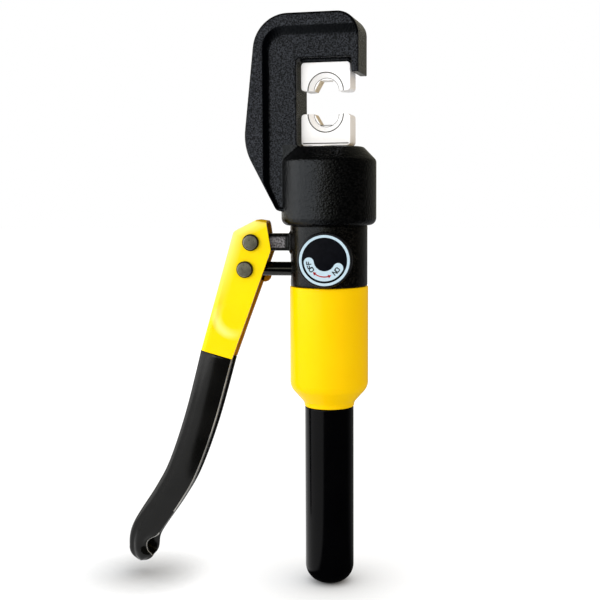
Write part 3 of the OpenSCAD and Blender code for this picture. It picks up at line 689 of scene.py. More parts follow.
lower_half = hex_die("lower_half", 17, False)
lower_half.data.transform(Matrix.Translation((0, 0, lower_face * MM)) @ turn_with_head)
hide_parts("lower_die")
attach(lower_half, "ram")
upper_half = hex_die("upper_half", 15.2, True)
upper_half.data.transform(Matrix.Translation((0, 0, upper_face * MM)) @ turn_with_head)
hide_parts("upper_die")
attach(upper_half, "head")
edge_shade_lines("lower_lines", "ram", lower_face, -1)
edge_shade_lines("upper_lines", "head", upper_face, 1)

# Pump lever: steel sheet folded into a channel that opens towards the body, enamelled gloss yellow.
# It is folded along its outer edge and over its top; the bare end below goes on inside the grip.

sheet = 2.5
channel_half = 8.5
lever_width = 18.6
toe_share = 0.83
fold_radius = 3.0
inner_fold = 0.8
cap_thin = 0.36
panel_deep = 0.6
panel_low = (11, 17)
panel_high = (24, 40)
panel_edge = (2.8, 5.8)
rows = 91
columns = 45
cap_start = rows + 28
tail_hidden = 18
arc_steps = 6
lever_points = [Vector(p) for p in ((-20.4, -62.7), (-30.2, -98.3), (-40.5, -127.1), (-49.6, -143.9),
                                    (-64, -165.8), (-66.4, -176.8))]
shoulder, crest, peak, throat = (Vector(p) for p in ((-10.3, 5.9), (3, 12.6), (8.4, 11.7), (11, -4.4)))
cap_line = [crest, 2 * peak - crest]


def flowing(spots, steps):
    """A smooth line through the points."""
    last = len(spots) - 1
    line = []
    for i in range(last):
        a, b = spots[max(i - 1, 0)], spots[i]
        c, d = spots[i + 1], spots[min(i + 2, last)]
        for k in range(steps):
            t = k / steps
            line.append((2 * b + (c - a) * t + (2 * a - 5 * b + 4 * c - d) * t * t
                         + (3 * b - a - 3 * c + d) * t ** 3) / 2)
    line.append(spots[last])
    return line


def clockwise(way):
    """A direction after a quarter turn to the right."""
    return Vector((way.y, -way.x))


def left_of(line, i):
    """The direction square to the line at one of its points, towards the handle."""
    return -clockwise((line[min(i + 1, len(line) - 1)] - line[max(i - 1, 0)]).normalized())


lever_line = flowing(lever_points, 12)
lever_dir = (lever_points[1] - lever_points[0]).normalized()
lever_side = -clockwise(lever_dir)
border_inner = lever_points[0] + lever_side * lever_width / 2
border_outer = lever_points[0] - lever_side * lever_width / 2
out_dir = (shoulder - border_outer).normalized()
top_dir = (crest - shoulder).normalized()
cap_dir = (peak - crest).normalized()


def evenly(points, count):
    """Points spread evenly along a polyline."""
    lengths = [0.0]
    for a, b in zip(points, points[1:]):
        lengths.append(lengths[-1] + (b - a).length)
    spots = []
    for k in range(count):
        want = k / (count - 1) * lengths[-1]
        i = max(j for j in range(len(points) - 1) if lengths[j] <= want + 1e-9)
        span = lengths[i + 1] - lengths[i]
        spots.append(points[i].lerp(points[i + 1], (want - lengths[i]) / span))
    return spots


def patch(bottom, left, top, right):
    """Points in rows over the side of the channel, from its four edge lines."""
    spots = []
    for j in range(rows):
        v = j / (rows - 1)
        for i in range(columns):
            u = i / (columns - 1)
            across = left[j].lerp(right[j], u)
            along = bottom[i].lerp(top[i], v)
            corners = bottom[0].lerp(bottom[-1], u).lerp(top[0].lerp(top[-1], u), v)
            spots.append(across + along - corners)
    return spots


def gap_to(point, line):
    """Distance from a point to a polyline."""
    best = 1e9
    for a, b in zip(line, line[1:]):
        span = b - a
        share = min(max((point - a).dot(span) / max(span.length_squared, 1e-12), 0), 1)
        best = min(best, (point - a - span * share).length)
    return best


def smooth_step(value, start, end):
    """Rises from zero to one between two values, without a kink."""
    share = min(max((value - start) / (end - start), 0), 1)
    return share * share * (3 - 2 * share)


def pressed(point):
    """Depth of the shallow panel that is pressed into each cheek, below the pins."""
    along = (point - border_outer).dot(-lever_dir)
    across = (point - border_outer).dot(lever_side)
    panel = smooth_step(along, *panel_low) * (1 - smooth_step(along, *panel_high))
    return panel_deep * panel * smooth_step(across, *panel_edge)


def meet(a, a_dir, b, b_dir):
    """The point where two straight lines cross."""
    return a + a_dir * ((b - a).cross(b_dir) / a_dir.cross(b_dir))


def folded_skin(inset, half, fold):
    """One side of the folded sheet: edge lines moved in, then the fold worked into the depth."""
    outer = border_outer + clockwise(out_dir) * inset
    top = shoulder + clockwise(top_dir) * inset
    cap = crest + clockwise(cap_dir) * inset * cap_thin
    corner = meet(outer, out_dir, top, top_dir)
    ridge = meet(top, top_dir, cap, cap_dir)
    end = meet(cap, cap_dir, peak, (throat - peak).normalized())
    edge = rounded([outer, corner, ridge, end], [0, max(3 - inset, 0.6), max(4 - inset, 1), 0], 8)
    near = min(range(len(edge)), key=lambda i: (edge[i] - corner).length)
    open_edge = rounded([border_inner, throat, end, outer], [0, 5, 0, 0], 12)[:-1]
    spots = patch(evenly([outer, border_inner], columns), evenly(edge[:near + 1], rows),
                  evenly(edge[near:], columns), evenly(open_edge, rows))
    depths = []
    for spot in spots:
        bent = max(fold - gap_to(spot, edge), 0)
        drop = fold - math.sqrt(fold * fold - bent * bent)
        depths.append(half - drop - pressed(spot))
    return spots, depths


lever_spots, lever_faces, lever_coats = [], [], []
# Finish numbers: plain enamel, painted shade inside the channel, painted shade on the top cap.
painted, inside_shade_coat, cap_shade_coat = 0, 1, 2
skins = {}


def add_face(coat_index, *corners):
    """Adds a face of the sheet, with the number of its finish."""
    lever_faces.append(corners)
    lever_coats.append(coat_index)


for side in (-1, 1):
    for which, inset, half, fold in (("out", 0, channel_half, fold_radius),
                                     ("in", sheet, channel_half - sheet, inner_fold)):
        spots, depths = folded_skin(inset, half, fold)
        base = len(lever_spots)
        skins[side, which] = base
        lever_spots += [(fulcrum[0] + p.x, side * d, fulcrum[1] + p.y) for p, d in zip(spots, depths)]
        for j in range(rows - 1):
            for i in range(columns - 1):
                a = base + j * columns + i
                on_cap = gap_to(spots[j * columns + i], cap_line) < 1.5
                index = inside_shade_coat if which == "in" else cap_shade_coat if on_cap else painted
                add_face(index, a, a + 1, a + columns + 1, a + columns)
fold_line = [j * columns for j in range(rows)] + [(rows - 1) * columns + i for i in range(1, columns)]
lip_line = [j * columns + columns - 1 for j in reversed(range(rows))] + list(range(columns - 2, -1, -1))
for step, (a, b) in enumerate(zip(fold_line, fold_line[1:])):
    for which in ("out", "in"):
        front, back = skins[-1, which], skins[1, which]
        index = inside_shade_coat if which == "in" else cap_shade_coat if step > cap_start else painted
        add_face(index, front + a, front + b, back + b, back + a)
for a, b in zip(lip_line, lip_line[1:]):
    for side in (-1, 1):
        outside, inside = skins[side, "out"], skins[side, "in"]
        add_face(inside_shade_coat, outside + a, outside + b, inside + b, inside + a)
for end in (0, rows * columns - 1):
    add_face(inside_shade_coat, skins[-1, "out"] + end, skins[1, "out"] + end, skins[1, "in"] + end,
             skins[-1, "in"] + end)
lever_enamel = gloss_enamel("lever_enamel", (0.95, 0.67, 0.0008), (0.96, 0.71, 0.001), 0.08)
# Painted shade: the top cap takes a dull amber enamel, and the channel's inside, cut lips, ends and ear a
# darker amber one.
cap_shade_enamel = gloss_enamel("cap_shade_enamel", (0.66, 0.38, 0.003), (0.72, 0.44, 0.005), 0.0)
inner_shade_enamel = gloss_enamel("inner_shade_enamel", (0.40, 0.16, 0.003), (0.5, 0.21, 0.005), 0.05)
# Painted highlights: the enamel is painted paler along the upper outer fold and the top edge, and in a soft
# arc round the pressed panel's lower corner.
corner = Vector(fulcrum) + shoulder
panel = Vector(fulcrum) + border_outer - lever_dir * 24 + lever_side * 14
wear_and_sheen(lever_enamel, [[(clockwise(out_dir), corner, 7.5, 0.5), ((0, 1), fulcrum, -45, 4)],
                    [(clockwise(top_dir), corner, 6.5, 0.5), ((0, 1), fulcrum, -45, 4)],
                    [("round", panel, 7, 10.8), ("round", panel, 14, 10.8), (-lever_dir, panel, 6, -5),
                     (lever_side, panel, 7, -3)]], (0.96, 0.86, 0.2))
lever_sheet = new_piece("lever_sheet", lever_spots, lever_faces)
for face, index in zip(lever_sheet.data.polygons, lever_coats):
    face.material_index = index
ear_radius = 3.6
ear_at = (fulcrum[0] + 5.2, fulcrum[1] - 19.2)
ear_profile = rounded([(0, channel_half - sheet), (ear_radius, channel_half - sheet),
                       (ear_radius, channel_half), (0, channel_half)], [0, 0.5, 0.7, 0], 5)
ear = turned("ear", ear_profile, closed=False, around=ear_at, facing="front", steps=72)
for face in ear.data.polygons:
    face.material_index = inside_shade_coat


def channel_section(wide, half, wall, lip, fold, hollow, crown=0.0, notch=0.0):
    """A U-shaped section across the lever: lips rounded, sides crowned, the front lip set back by a notch."""
    section = []
    inner = half - lip
    deep = max(2 * wide - wall, 0) * hollow
    pocket = wide - deep
    tip = min((lip - crown) / 2 - 0.05, 1.6)
    ease = min(1.2, deep * 0.45, inner * 0.9) * min(hollow * 4, 1) + 0.02
    front_in = wide - min(notch, deep * 0.8)

    def arc(x, y, radius, start, end):
        """Adds points round a centre, between two angles in degrees."""
        for k in range(arc_steps + 1):
            angle = math.radians(start + (end - start) * k / arc_steps)
            section.append((x + radius * math.cos(angle), y + radius * math.sin(angle)))

    def crowned(face, reach, order):
        """Adds the points of a side that bulges by the crown in its middle."""
        for k in order:
            share = k / 4 - 1
            section.append((fold - wide + (reach - tip + wide - fold) * k / 8,
                            face * (half - crown * share * share)))

    arc(fold - wide, crown + fold - half, fold, 180, 270)
    crowned(-1, front_in, range(1, 8))
    arc(front_in - tip, crown + tip - half, tip, 270, 360)
    arc(front_in - tip, -inner - tip, tip, 0, 90)
    arc(pocket + ease, ease - inner, ease, 270, 180)
    arc(pocket + ease, inner - ease, ease, 180, 90)
    arc(wide - tip, inner + tip, tip, 270, 360)
    arc(wide - tip, half - crown - tip, tip, 0, 90)
    crowned(1, wide, range(7, 0, -1))
    arc(fold - wide, half - crown - fold, fold, 90, 180)
    return section


def drawn_along(name, line, sections):
    """A skin through sections that follow a line, closed at both ends."""
    rings = []
    for (spot, side), section in zip(line, sections):
        places = [(spot + side * across, depth) for across, depth in section]
        rings.append([(fulcrum[0] + at.x, depth, fulcrum[1] + at.y) for at, depth in places])
    return lofted(name, rings)


def half_width(i, width):
    """Half the lever's width at a point of its line; it narrows towards the toe."""
    return width / 2 * (1 - (1 - toe_share) * i / (len(lever_line) - 1))


tail_line, tail_sections = [], []
for i in range(-1, len(lever_line) - tail_hidden):
    at = max(i, 0)
    spot = lever_line[0] - lever_dir * 5 if i < 0 else lever_line[i]
    tail_line.append((spot, left_of(lever_line, at)))
    tail_sections.append(channel_section(half_width(at, lever_width - 2.6), channel_half - 1.8,
                                         sheet, sheet, 2.2, 1.0))
merge(lever_sheet, ear, drawn_along("lever_tail", tail_line, tail_sections))
crease(lever_sheet, 40)
coat(lever_sheet, lever_enamel, inner_shade_enamel, cap_shade_enamel)
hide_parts("lever_channel")
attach(lever_sheet, "lever")

# Lever grip: the lower end of the channel is hot dipped in black vinyl, inside and out.
# The dip rounds the folds, thickens the lips and closes the toe in a rounded bulb.

dip = 1.2
dip_proud = 0.3
grip_half = channel_half + dip_proud
grip_lip = sheet + 2 * dip
grip_width = lever_width + 2 * dip_proud
grip_fold = 3.4
grip_crown = 1.2
toe_crown = 2.8
toe_steps = 12
toe_narrows = 5.6
closing_starts = 8.5
closing_length = 11
notch_starts = 14
notch_rise = 11
notch_full = 3
notch_fall = 5.2
notch_deep = 4.8
lip_edges = (16, 17, 51, 52)

lever_vinyl = dipped_vinyl("lever_vinyl", (0.0028, 0.0028, 0.0026), (0.0055, 0.0055, 0.0052),
                           0.24, 0.12, 0.18)
lip_highlight_vinyl = dipped_vinyl("lip_highlight_vinyl", (0.22, 0.22, 0.21), (0.5, 0.5, 0.48), 0.3, 0.15, 0.25)
grip_line, grip_sections = [], []
toe, toe_side = lever_line[-1], left_of(lever_line, len(lever_line) - 1)
toe_dir = clockwise(toe_side)
onward = (lever_line[1] - lever_line[0]).normalized()


def grip_reach(i):
    """Half the grip's width at a point of the lever's line."""
    return half_width(i, grip_width) - 0.05


def opening(past_toe):
    """How much of the channel is open, and how far the front lip is set back, near the toe."""
    share = math.sqrt(max(1 - (max(past_toe + closing_starts, 0) / closing_length) ** 2, 0))
    back = math.sin(math.pi / 2 * min(max((past_toe + notch_starts) / notch_rise, 0), 1)) ** 2
    if past_toe > -notch_full:
        back = math.sqrt(max(1 - ((past_toe + notch_full) / notch_fall) ** 2, 0))
    return max(share, 0.02), notch_deep * back


for back, shrink in ((0.05, 0.55), (0.2, 0.2)):
    grip_line.append((lever_line[0] + onward * back, left_of(lever_line, 0)))
    grip_sections.append(channel_section(grip_reach(0) - shrink, grip_half - shrink, grip_lip, grip_lip,
                                         3.0, 1.0, grip_crown))
for i, spot in enumerate(lever_line):
    past_toe = -(spot - toe).length
    open_share, notch = opening(past_toe)
    crown = grip_crown + (toe_crown - grip_crown) * smooth_step(past_toe, -26, -2)
    start = spot + onward * 0.6 if i == 0 else spot
    grip_line.append((start, left_of(lever_line, i)))
    grip_sections.append(channel_section(grip_reach(i), grip_half, grip_lip, grip_lip, grip_fold,
                                         open_share, crown, notch))
toe_radius = grip_reach(len(lever_line) - 1)
for k in range(1, toe_steps + 1):
    angle = math.pi / 2 * k / (toe_steps + 0.5)
    share = math.cos(angle)
    half = toe_radius * share
    deep = grip_half - (1 - share) * toe_narrows
    past_toe = toe_radius * math.sin(angle)
    open_share, notch = opening(past_toe)
    grip_line.append((toe + toe_dir * past_toe, toe_side))
    grip_sections.append(channel_section(half, deep, min(grip_lip, half), min(grip_lip, deep * 0.8),
                                         min(grip_fold, half * 0.9, deep * 0.9), open_share,
                                         toe_crown * share, notch))
lever_sleeve = drawn_along("lever_sleeve", grip_line, grip_sections)
crease(lever_sleeve, 50)
coat(lever_sleeve, lever_vinyl, lip_highlight_vinyl)
# Painted highlight: the lip edges of the upper grip and near the toe take a paler, glossier vinyl.
for ring, (spot, side) in enumerate(grip_line[:-1]):
    past_toe = (spot - toe).dot(toe_dir)
    if past_toe < -30 or -15 < past_toe < 2.5:
        for edge in lip_edges:
            lever_sleeve.data.polygons[2 + ring * len(grip_sections[0]) + edge].material_index = 1
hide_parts("lever_grip")
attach(lever_sleeve, "lever")

# Lever pins: two blackened steel pins with turned, chamfered heads to the front.
# The upper one is the fulcrum in the lug, the lower one drives the plunger.

pin_head = 4.6
pin_radius = 2.5
groove_radius = 1.9
pin_front = -channel_half - 2.6
groove_end = channel_half + 1.02
pin_back = channel_half + 2.4


def brushed_metal(name, dark, light, rough_low, rough_high, metallic=1.0):
    """Bare or blackened metal with a fine, even grain."""
    return mottled(name, dark, light, (350, 6), (rough_low, rough_high), (800, 5),
                   {"Metallic": metallic}, [((2200, 3), 0.12, 0.04)])


pin_steel = brushed_metal("pin_steel", (0.07, 0.069, 0.052), (0.15, 0.148, 0.11), 0.25, 0.4, 0.6)
# Painted highlight and shade: the chamfer ring takes a paler steel, and the head's side wall and the shank
# beyond a near-black one.
chamfer_highlight_steel = brushed_metal("chamfer_highlight_steel", (0.26, 0.26, 0.24), (0.4, 0.4, 0.37), 0.25, 0.4, 0.5)
side_shade_black = brushed_metal("side_shade_black", (0.004, 0.003, 0.002), (0.012, 0.009, 0.006), 0.35, 0.5, 0.3)
pin_profile = rounded(
    [(0, pin_front), (pin_head - 0.9, pin_front), (pin_head, pin_front + 0.9), (pin_head, -channel_half),
     (pin_radius, -channel_half), (pin_radius, channel_half), (groove_radius, channel_half),
     (groove_radius, groove_end), (pin_radius, groove_end), (pin_radius, pin_back), (0, pin_back)],
    [0, 0.5, 0.3, 0.12, 0, 0, 0, 0, 0, 0.4, 0], 4)
for name, at, node in (("upper_pin", fulcrum, "fulcrum_pin"), ("lower_pin", pin_below, "plunger_pin")):
    pin = turned(name, pin_profile, closed=False, around=at, facing="front", steps=96)
    crease(pin, 28)
    coat(pin, pin_steel, chamfer_highlight_steel, side_shade_black)
    for face in pin.data.polygons:
        past = face.center.y / MM - pin_front
        face.material_index = 0 if past < 0.06 else 1 if past < 0.42 else 2
    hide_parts(node)
    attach(pin, "lever")

# Release knob: a black moulded disc screwed to the valve stem, in a spot face of the body.
# A printed film covers its front: a pale ring, and a band that shows which way to turn it.

knob_radius = 14.8
knob_back = -15.5
knob_front = -24.0
film_radius = 13.9
film_seat = knob_front + 0.4
ink_low = knob_front + 0.06
ink_high = knob_front + 0.03
on_knob = {"around": (0, knob_height), "facing": "front"}

knob_moulding = mottled("knob_moulding", (0.004, 0.0045, 0.006), (0.009, 0.0095, 0.012), (200, 4),
                        (0.28, 0.4), (700, 4), {"Specular IOR Level": 0.3}, [((1800, 2), 0.1, 0.04)])
knob_disc = turned("knob_disc", rounded(
    [(0, knob_back), (knob_radius, knob_back), (knob_radius, knob_front), (film_radius + 0.05, knob_front),
     (film_radius + 0.05, film_seat), (0, film_seat)],
    [0, 0.8, 0.7, 0.15, 0, 0], 6), closed=False, **on_knob)
crease(knob_disc)
coat(knob_disc, knob_moulding)
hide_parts("release_knob")
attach(knob_disc, "knob")

film_black = mottled("film_black", (0.0018, 0.0022, 0.004), (0.0035, 0.004, 0.0065), (400, 3),
                     (0.3, 0.42), (900, 3), {"Specular IOR Level": 0.04})
knob_film = turned("knob_film", rounded(
    [(0, film_seat), (film_radius, film_seat), (film_radius, ink_low), (0, ink_low)],
    [0, 0, 0.1, 0], 3), closed=False, **on_knob)
crease(knob_film)
coat(knob_film, film_black)
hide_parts("knob_label")
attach(knob_film, "knob")


def print_ink(name, dark, light):
    """A matt printing ink."""
    return mottled(name, dark, light, (900, 4), (0.35, 0.5), (1500, 3), {"Specular IOR Level": 0.2})


ink_blue = print_ink("ink_blue", (0.46, 0.61, 0.70), (0.51, 0.66, 0.75))
ink_red = print_ink("ink_red", (0.34, 0.005, 0.008), (0.42, 0.008, 0.011))
ink_black = print_ink("ink_black", (0.006, 0.007, 0.01), (0.012, 0.013, 0.017))


def printed(name, outlines, low, high, ink):
    """Flat inked shapes on the film, from outlines in the knob's own plane."""
    piece = lofted(name, *[[[(x, depth, knob_height + z) for x, z in outline] for depth in (low, high)]
                           for outline in outlines])
    for face in piece.data.polygons:
        face.use_smooth = False
    coat(piece, ink)
    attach(piece, "knob")


def on_dial(radius, degrees):
    """A point on the label, by its distance from the middle and its bearing."""
    return (radius * math.cos(math.radians(degrees)), radius * math.sin(math.radians(degrees)))


def dial_arc(radius, start, end, steps):
    """Points along a part of a circle on the label."""
    return [on_dial(radius, start + (end - start) * k / steps) for k in range(steps + 1)]


ring_outer, ring_inner = 13.6, 12.2
pale_ring = turned("pale_ring", [(ring_outer, ink_low), (ring_outer, ink_high), (ring_inner, ink_high),
                                 (ring_inner, ink_low)], **on_knob)
crease(pale_ring)
coat(pale_ring, ink_blue)
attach(pale_ring, "knob")
band_inner, band_outer, band_from, band_to = 5.7, 11.1, 187, 332
band_middle, band_round = (band_inner + band_outer) / 2, (band_outer - band_inner) / 2


def band_end(turn_at, first):
    """The half circle that rounds off one end of the band."""
    cx, cz = on_dial(band_middle, turn_at)
    rim = dial_arc(band_round, turn_at + first, turn_at + first + 180, 16)[1:-1]
    return [(cx + x, cz + z) for x, z in rim]


band = dial_arc(band_outer, band_from, band_to, 60) + band_end(band_to, 0)
band += dial_arc(band_inner, band_to, band_from, 60) + band_end(band_from, 180)
printed("turn_band", [band], ink_low, ink_high, ink_blue)
arrow_from, arrow_to, arrow_radius, shaft_half, barb = 233, 287, 8.75, 0.32, 1.0
arrow = [dial_arc(arrow_radius + shaft_half, arrow_from, arrow_to, 24)
         + dial_arc(arrow_radius - shaft_half, arrow_to, arrow_from, 24)]
for tip_at, toward in ((arrow_from, -1), (arrow_to, 1)):
    arrow.append([on_dial(arrow_radius, tip_at + toward * 9),
                  on_dial(arrow_radius + barb, tip_at - toward * 3),
                  on_dial(arrow_radius - barb, tip_at - toward * 3)])
printed("turn_arrow", arrow, ink_high, knob_front, ink_red)

letter_strokes = {
    "O": [[(0.18, 0.0), (0.62, 0.0), (0.8, 0.2), (0.8, 0.8), (0.62, 1.0), (0.18, 1.0), (0.0, 0.8), (0.0, 0.2),
           (0.18, 0.0)]],
    "N": [[(0.0, 0.0), (0.0, 1.0)], [(0.0, 1.0), (0.75, 0.0)], [(0.75, 0.0), (0.75, 1.0)]],
    "F": [[(0.0, 0.0), (0.0, 1.0)], [(0.0, 1.0), (0.65, 1.0)], [(0.0, 0.55), (0.55, 0.55)]],
}


def lettered(name, word, middle):
    """Stencil strokes set clockwise along the dial, with the letters' heads outwards."""
    step = math.degrees(letter_pitch / word_radius)
    outlines = []
    for index, letter in enumerate(word):
        at = middle + step * ((len(word) - 1) / 2 - index)
        right = Vector(on_dial(1, at - 90))
        head = Vector(on_dial(1, at))
        for line in letter_strokes[letter]:
            spots = [head * word_radius + right * (x - 0.38) * letter_tall + head * (y - 0.5) * letter_tall
                     for x, y in line]
            for a, b in zip(spots, spots[1:]):
                along = (b - a).normalized() * letter_stroke / 2
                side = -clockwise(along)
                outlines.append([tuple(p) for p in (a - along - side, b + along - side,
                                                    b + along + side, a - along + side)])
    printed(name, outlines, ink_high, knob_front, ink_black)


word_radius, letter_pitch, letter_tall, letter_stroke = 8.5, 2.05, 2.2, 0.52
lettered("word_off", "OFF", 202)
lettered("word_on", "ON", 318)

# Return spring: a coil of round spring steel wire, wound loosely round the ram's rod.
# It stands on the piston and is pressed together under the bridge as the ram comes up.

spring_foot = 153.6
spring_head = 178.4
spring_wire = 2.1
spring_radius = 14.25
spring_turns = 5
turn_steps = 48
wire_sides = 12
spring_steel = brushed_metal("spring_steel", (0.46, 0.46, 0.45), (0.6, 0.6, 0.58), 0.22, 0.36)
coils = []
for step in range(spring_turns * turn_steps + 1):
    turn = 2 * math.pi * step / turn_steps
    rise = (spring_head - spring_foot - spring_wire) * step / (spring_turns * turn_steps)
    ring = []
    for k in range(wire_sides):
        bearing = 2 * math.pi * k / wire_sides
        reach = spring_radius + spring_wire / 2 * math.cos(bearing)
        ring.append((reach * math.cos(turn), reach * math.sin(turn),
                     spring_foot + spring_wire / 2 * (1 + math.sin(bearing)) + rise))
    coils.append(ring)
return_coil = lofted("return_coil", coils)
crease(return_coil, 50)
coat(return_coil, spring_steel)
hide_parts("return_spring")
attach(return_coil, "head")
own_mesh(return_coil)

# Pieces that keep their turned or ground shape: plunger, ram, small springs, seals, rings and valves.
# They take the finish of their own metal, rubber or plastic.

plunger_steel = brushed_metal("plunger_steel", (0.03, 0.03, 0.029), (0.045, 0.045, 0.043), 0.08, 0.12, 1.0)
ground_steel = brushed_metal("ground_steel", (0.46, 0.46, 0.45), (0.6, 0.6, 0.58), 0.22, 0.36)
ram_steel = brushed_metal("ram_steel", (0.62, 0.62, 0.6), (0.78, 0.78, 0.75), 0.15, 0.28)
ball_steel = brushed_metal("ball_steel", (0.75, 0.75, 0.74), (0.85, 0.85, 0.84), 0.08, 0.16)
tube_steel = brushed_metal("tube_steel", (0.08, 0.08, 0.075), (0.14, 0.14, 0.13), 0.35, 0.5)
bush_brass = brushed_metal("bush_brass", (0.58, 0.42, 0.15), (0.74, 0.56, 0.24), 0.25, 0.4)


def moulded_rubber(name, dark, light, rough):
    """Rubber or plastic with the dull grain of its mould."""
    return mottled(name, dark, light, (300, 5), (rough, rough + 0.15), (600, 4), {},
                   [((1600, 3), 0.2, 0.05)])


seal_rubber = moulded_rubber("seal_rubber", (0.012, 0.012, 0.012), (0.025, 0.025, 0.024), 0.5)
bladder_rubber = moulded_rubber("bladder_rubber", (0.03, 0.036, 0.033), (0.05, 0.058, 0.053), 0.55)
seal_plastic = moulded_rubber("seal_plastic", (0.72, 0.72, 0.68), (0.82, 0.82, 0.78), 0.35)
kept_shapes = {
    plunger_steel: ["plunger"],
    ground_steel: ["plunger_gland", "inlet_spring", "strainer", "outlet_spring", "outlet_plug",
                   "bladder_clamp", "retaining_ring", "upper_die_ring", "lower_die_ring", "pin_clips",
                   "valve_stem", "knob_screw"],
    ram_steel: ["ram"],
    ball_steel: ["inlet_ball", "outlet_ball", "release_ball"],
    tube_steel: ["handle_tube", "tube_plug"],
    bush_brass: ["inlet_seat", "ram_guide_bush"],
    seal_rubber: ["plunger_seal", "piston_seal", "stem_seal"],
    bladder_rubber: ["oil_bladder"],
    seal_plastic: ["backup_ring"],
}
for finish, names in kept_shapes.items():
    for name in names:
        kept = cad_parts[name].data
        kept.materials.clear()
        kept.materials.append(finish)

# Floor: a seamless white sweep under the tool, pale enough to merge with the background.
# It catches the soft shadows under the butt and the lever's toe, and its glow is dimmer near the feet and
# darkened by occlusion: painted shadow, deepest under the toe. Glossy surfaces see it white behind the tool
# and on the left only.

floor_half = 6000
shadow_reach = 0.036
butt_shade = 1.3
toe_shade = 6.0
floor_height = handle_butt - 0.05
floor = new_piece("floor", [(x * floor_half, y * floor_half, floor_height)
                            for x, y in ((-1, -1), (1, -1), (1, 1), (-1, 1))], [(0, 1, 2, 3)])


def white_behind(tree, way):
    """How bright a direction is in glossy surfaces: white behind the tool, and more so on the left."""
    brightest = spread_between(tree, way["X"], 0.5, 0.2, -0.1, 0.25)
    return spread_between(tree, way["Y"], 0.02, brightest, 0.1, 0.7)


def pick(tree, share, first, second):
    """Mixes two shaders by a share."""
    return wire(tree, "ShaderNodeMixShader", {"Fac": share, 1: first, 2: second})[0]


def in_gloss(tree, path):
    """One where a glossy surface looks, and zero elsewhere."""
    return join(tree, "MAXIMUM", path["Is Glossy Ray"], path["Is Transmission Ray"])


floor_paper = bpy.data.materials.new("floor_paper")
floor_paper.use_nodes = True
tree = floor_paper.node_tree
tree.nodes.clear()
path = wire(tree, "ShaderNodeLightPath", {})
spot = wire(tree, "ShaderNodeNewGeometry", {})["Position"]
paper_tone = blend(tree, path["Is Camera Ray"], (0.87, 0.89, 0.93, 1), (0.38, 0.39, 0.4, 1))
paper = wire(tree, "ShaderNodeBsdfDiffuse", {"Color": paper_tone})[0]
feet = [measure(tree, "DISTANCE", spot, Vector((x, 0, floor_height)) * MM) for x in (0, fulcrum[0] + toe.x)]
fade = two_tones(tree, join(tree, "MINIMUM", *feet), (0.66, 0.66, 0.66), (0.82, 0.82, 0.82), 0.015, 0.6)
fade.node.color_ramp.elements.new(0.07).color = (0.68, 0.68, 0.68, 1)
# Painted shadow: occlusion darkens the glow, far more steeply away from the butt, so the toe's shadow is the
# deepest.
shade = wire(tree, "ShaderNodeAmbientOcclusion", {"Distance": shadow_reach})["AO"]
from_butt = measure(tree, "LENGTH", spot)
deeper = join(tree, "POWER", shade, spread_between(tree, from_butt, butt_shade, toe_shade, 0.08, 0.1))
lift = join(tree, "MULTIPLY", path["Is Camera Ray"], join(tree, "MULTIPLY", fade, deeper))
glow = wire(tree, "ShaderNodeEmission", {"Color": (1, 1, 1, 1), "Strength": lift})[0]
seen_paper = wire(tree, "ShaderNodeAddShader", {0: paper, 1: glow})[0]
aim = wire(tree, "ShaderNodeVectorMath", {0: spot}, "NORMALIZE")["Vector"]
way = wire(tree, "ShaderNodeSeparateXYZ", {0: aim})
beside = spread_between(tree, way["X"], 0.02, 1.0, -0.32, -0.42)
brighter = join(tree, "MAXIMUM", white_behind(tree, way), beside)
mirrored = wire(tree, "ShaderNodeEmission", {"Color": (1, 1, 1, 1), "Strength": brighter})[0]
surface = pick(tree, in_gloss(tree, path), seen_paper, mirrored)
wire(tree, "ShaderNodeOutputMaterial", {"Surface": surface})
coat(floor, floor_paper)

# Studio: a white surround that is warmer on the right, and one large soft box on the left.
# The camera sees the surround as white. Glossy surfaces see it white behind the tool, and in a
# window in front of it, and dark elsewhere.

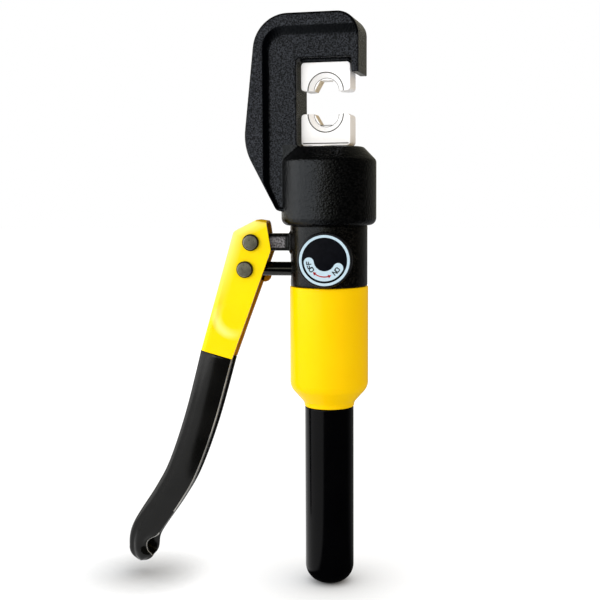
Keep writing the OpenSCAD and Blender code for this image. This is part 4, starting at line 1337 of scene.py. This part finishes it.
scene = bpy.context.scene
scene.view_settings.view_transform = "Standard"
surround = bpy.data.worlds.new("surround")
scene.world = surround
surround.use_nodes = True
tree = surround.node_tree
tree.nodes.clear()
path = wire(tree, "ShaderNodeLightPath", {})
way = wire(tree, "ShaderNodeSeparateXYZ", {0: wire(tree, "ShaderNodeTexCoord", {})["Generated"]})
window = spread_between(tree, way["X"], 1.3, 0.0, 0.14, 0.2)
for axis, *edges in (("X", 0, 1, -0.45, -0.35), ("Y", 1, 0, -0.3, -0.1), ("Z", 1, 0, 0.22, 0.3)):
    window = join(tree, "MULTIPLY", window, spread_between(tree, way[axis], *edges))
shown = join(tree, "MAXIMUM", white_behind(tree, way), window)
warmth = two_tones(tree, spread_between(tree, way["X"], 0, 1, -1, 1), (0.92, 0.92, 0.92), (0.8, 0.57, 0.3),
                   0.66, 0.97)
soft_light = wire(tree, "ShaderNodeBackground", {"Color": warmth, "Strength": 1.0})[0]
mirrored = wire(tree, "ShaderNodeBackground", {"Color": (1, 0.95, 0.76, 1), "Strength": shown})[0]
backdrop = wire(tree, "ShaderNodeBackground", {"Color": (1, 1, 1, 1), "Strength": 1.0})[0]
lighting = pick(tree, in_gloss(tree, path), soft_light, mirrored)
wire(tree, "ShaderNodeOutputWorld", {"Surface": pick(tree, path["Is Camera Ray"], lighting, backdrop)})

box_at = Vector((-725, -436, 300))
box_aim = Vector((0, 0, 150))
lamp = bpy.data.lights.new("left_soft_box", "AREA")
lamp.shape = "RECTANGLE"
lamp.size = 1640 * MM
lamp.size_y = 600 * MM
lamp.energy = 7.0
lamp.color = (1, 0.99, 0.98)
soft_box = bpy.data.objects.new("left_soft_box", lamp)
scene.collection.objects.link(soft_box)
soft_box.location = box_at * MM
soft_box.rotation_euler = (box_aim - box_at).to_track_quat("-Z", "Y").to_euler()

# Camera: stands a little to the right of the tool, just above its middle, looking slightly down.
# The whole tool fills the square frame from the butt to the crown.

camera_distance = 586.6
camera_side = math.radians(6.0)
camera_height = 163.1
camera_yaw = math.radians(7.58)
camera_pitch = math.radians(5.7)
camera_roll = math.radians(-0.3)
lens = bpy.data.cameras.new("camera")
lens.sensor_width = 36
lens.lens = 63.6
camera = bpy.data.objects.new("camera", lens)
scene.collection.objects.link(camera)
camera.matrix_world = (
    Matrix.Translation(Vector((camera_distance * math.sin(camera_side),
                               -camera_distance * math.cos(camera_side), camera_height)) * MM)
    @ Matrix.Rotation(camera_yaw, 4, "Z")
    @ Matrix.Rotation(math.pi / 2 - camera_pitch, 4, "X")
    @ Matrix.Rotation(camera_roll, 4, "Z"))
scene.camera = camera
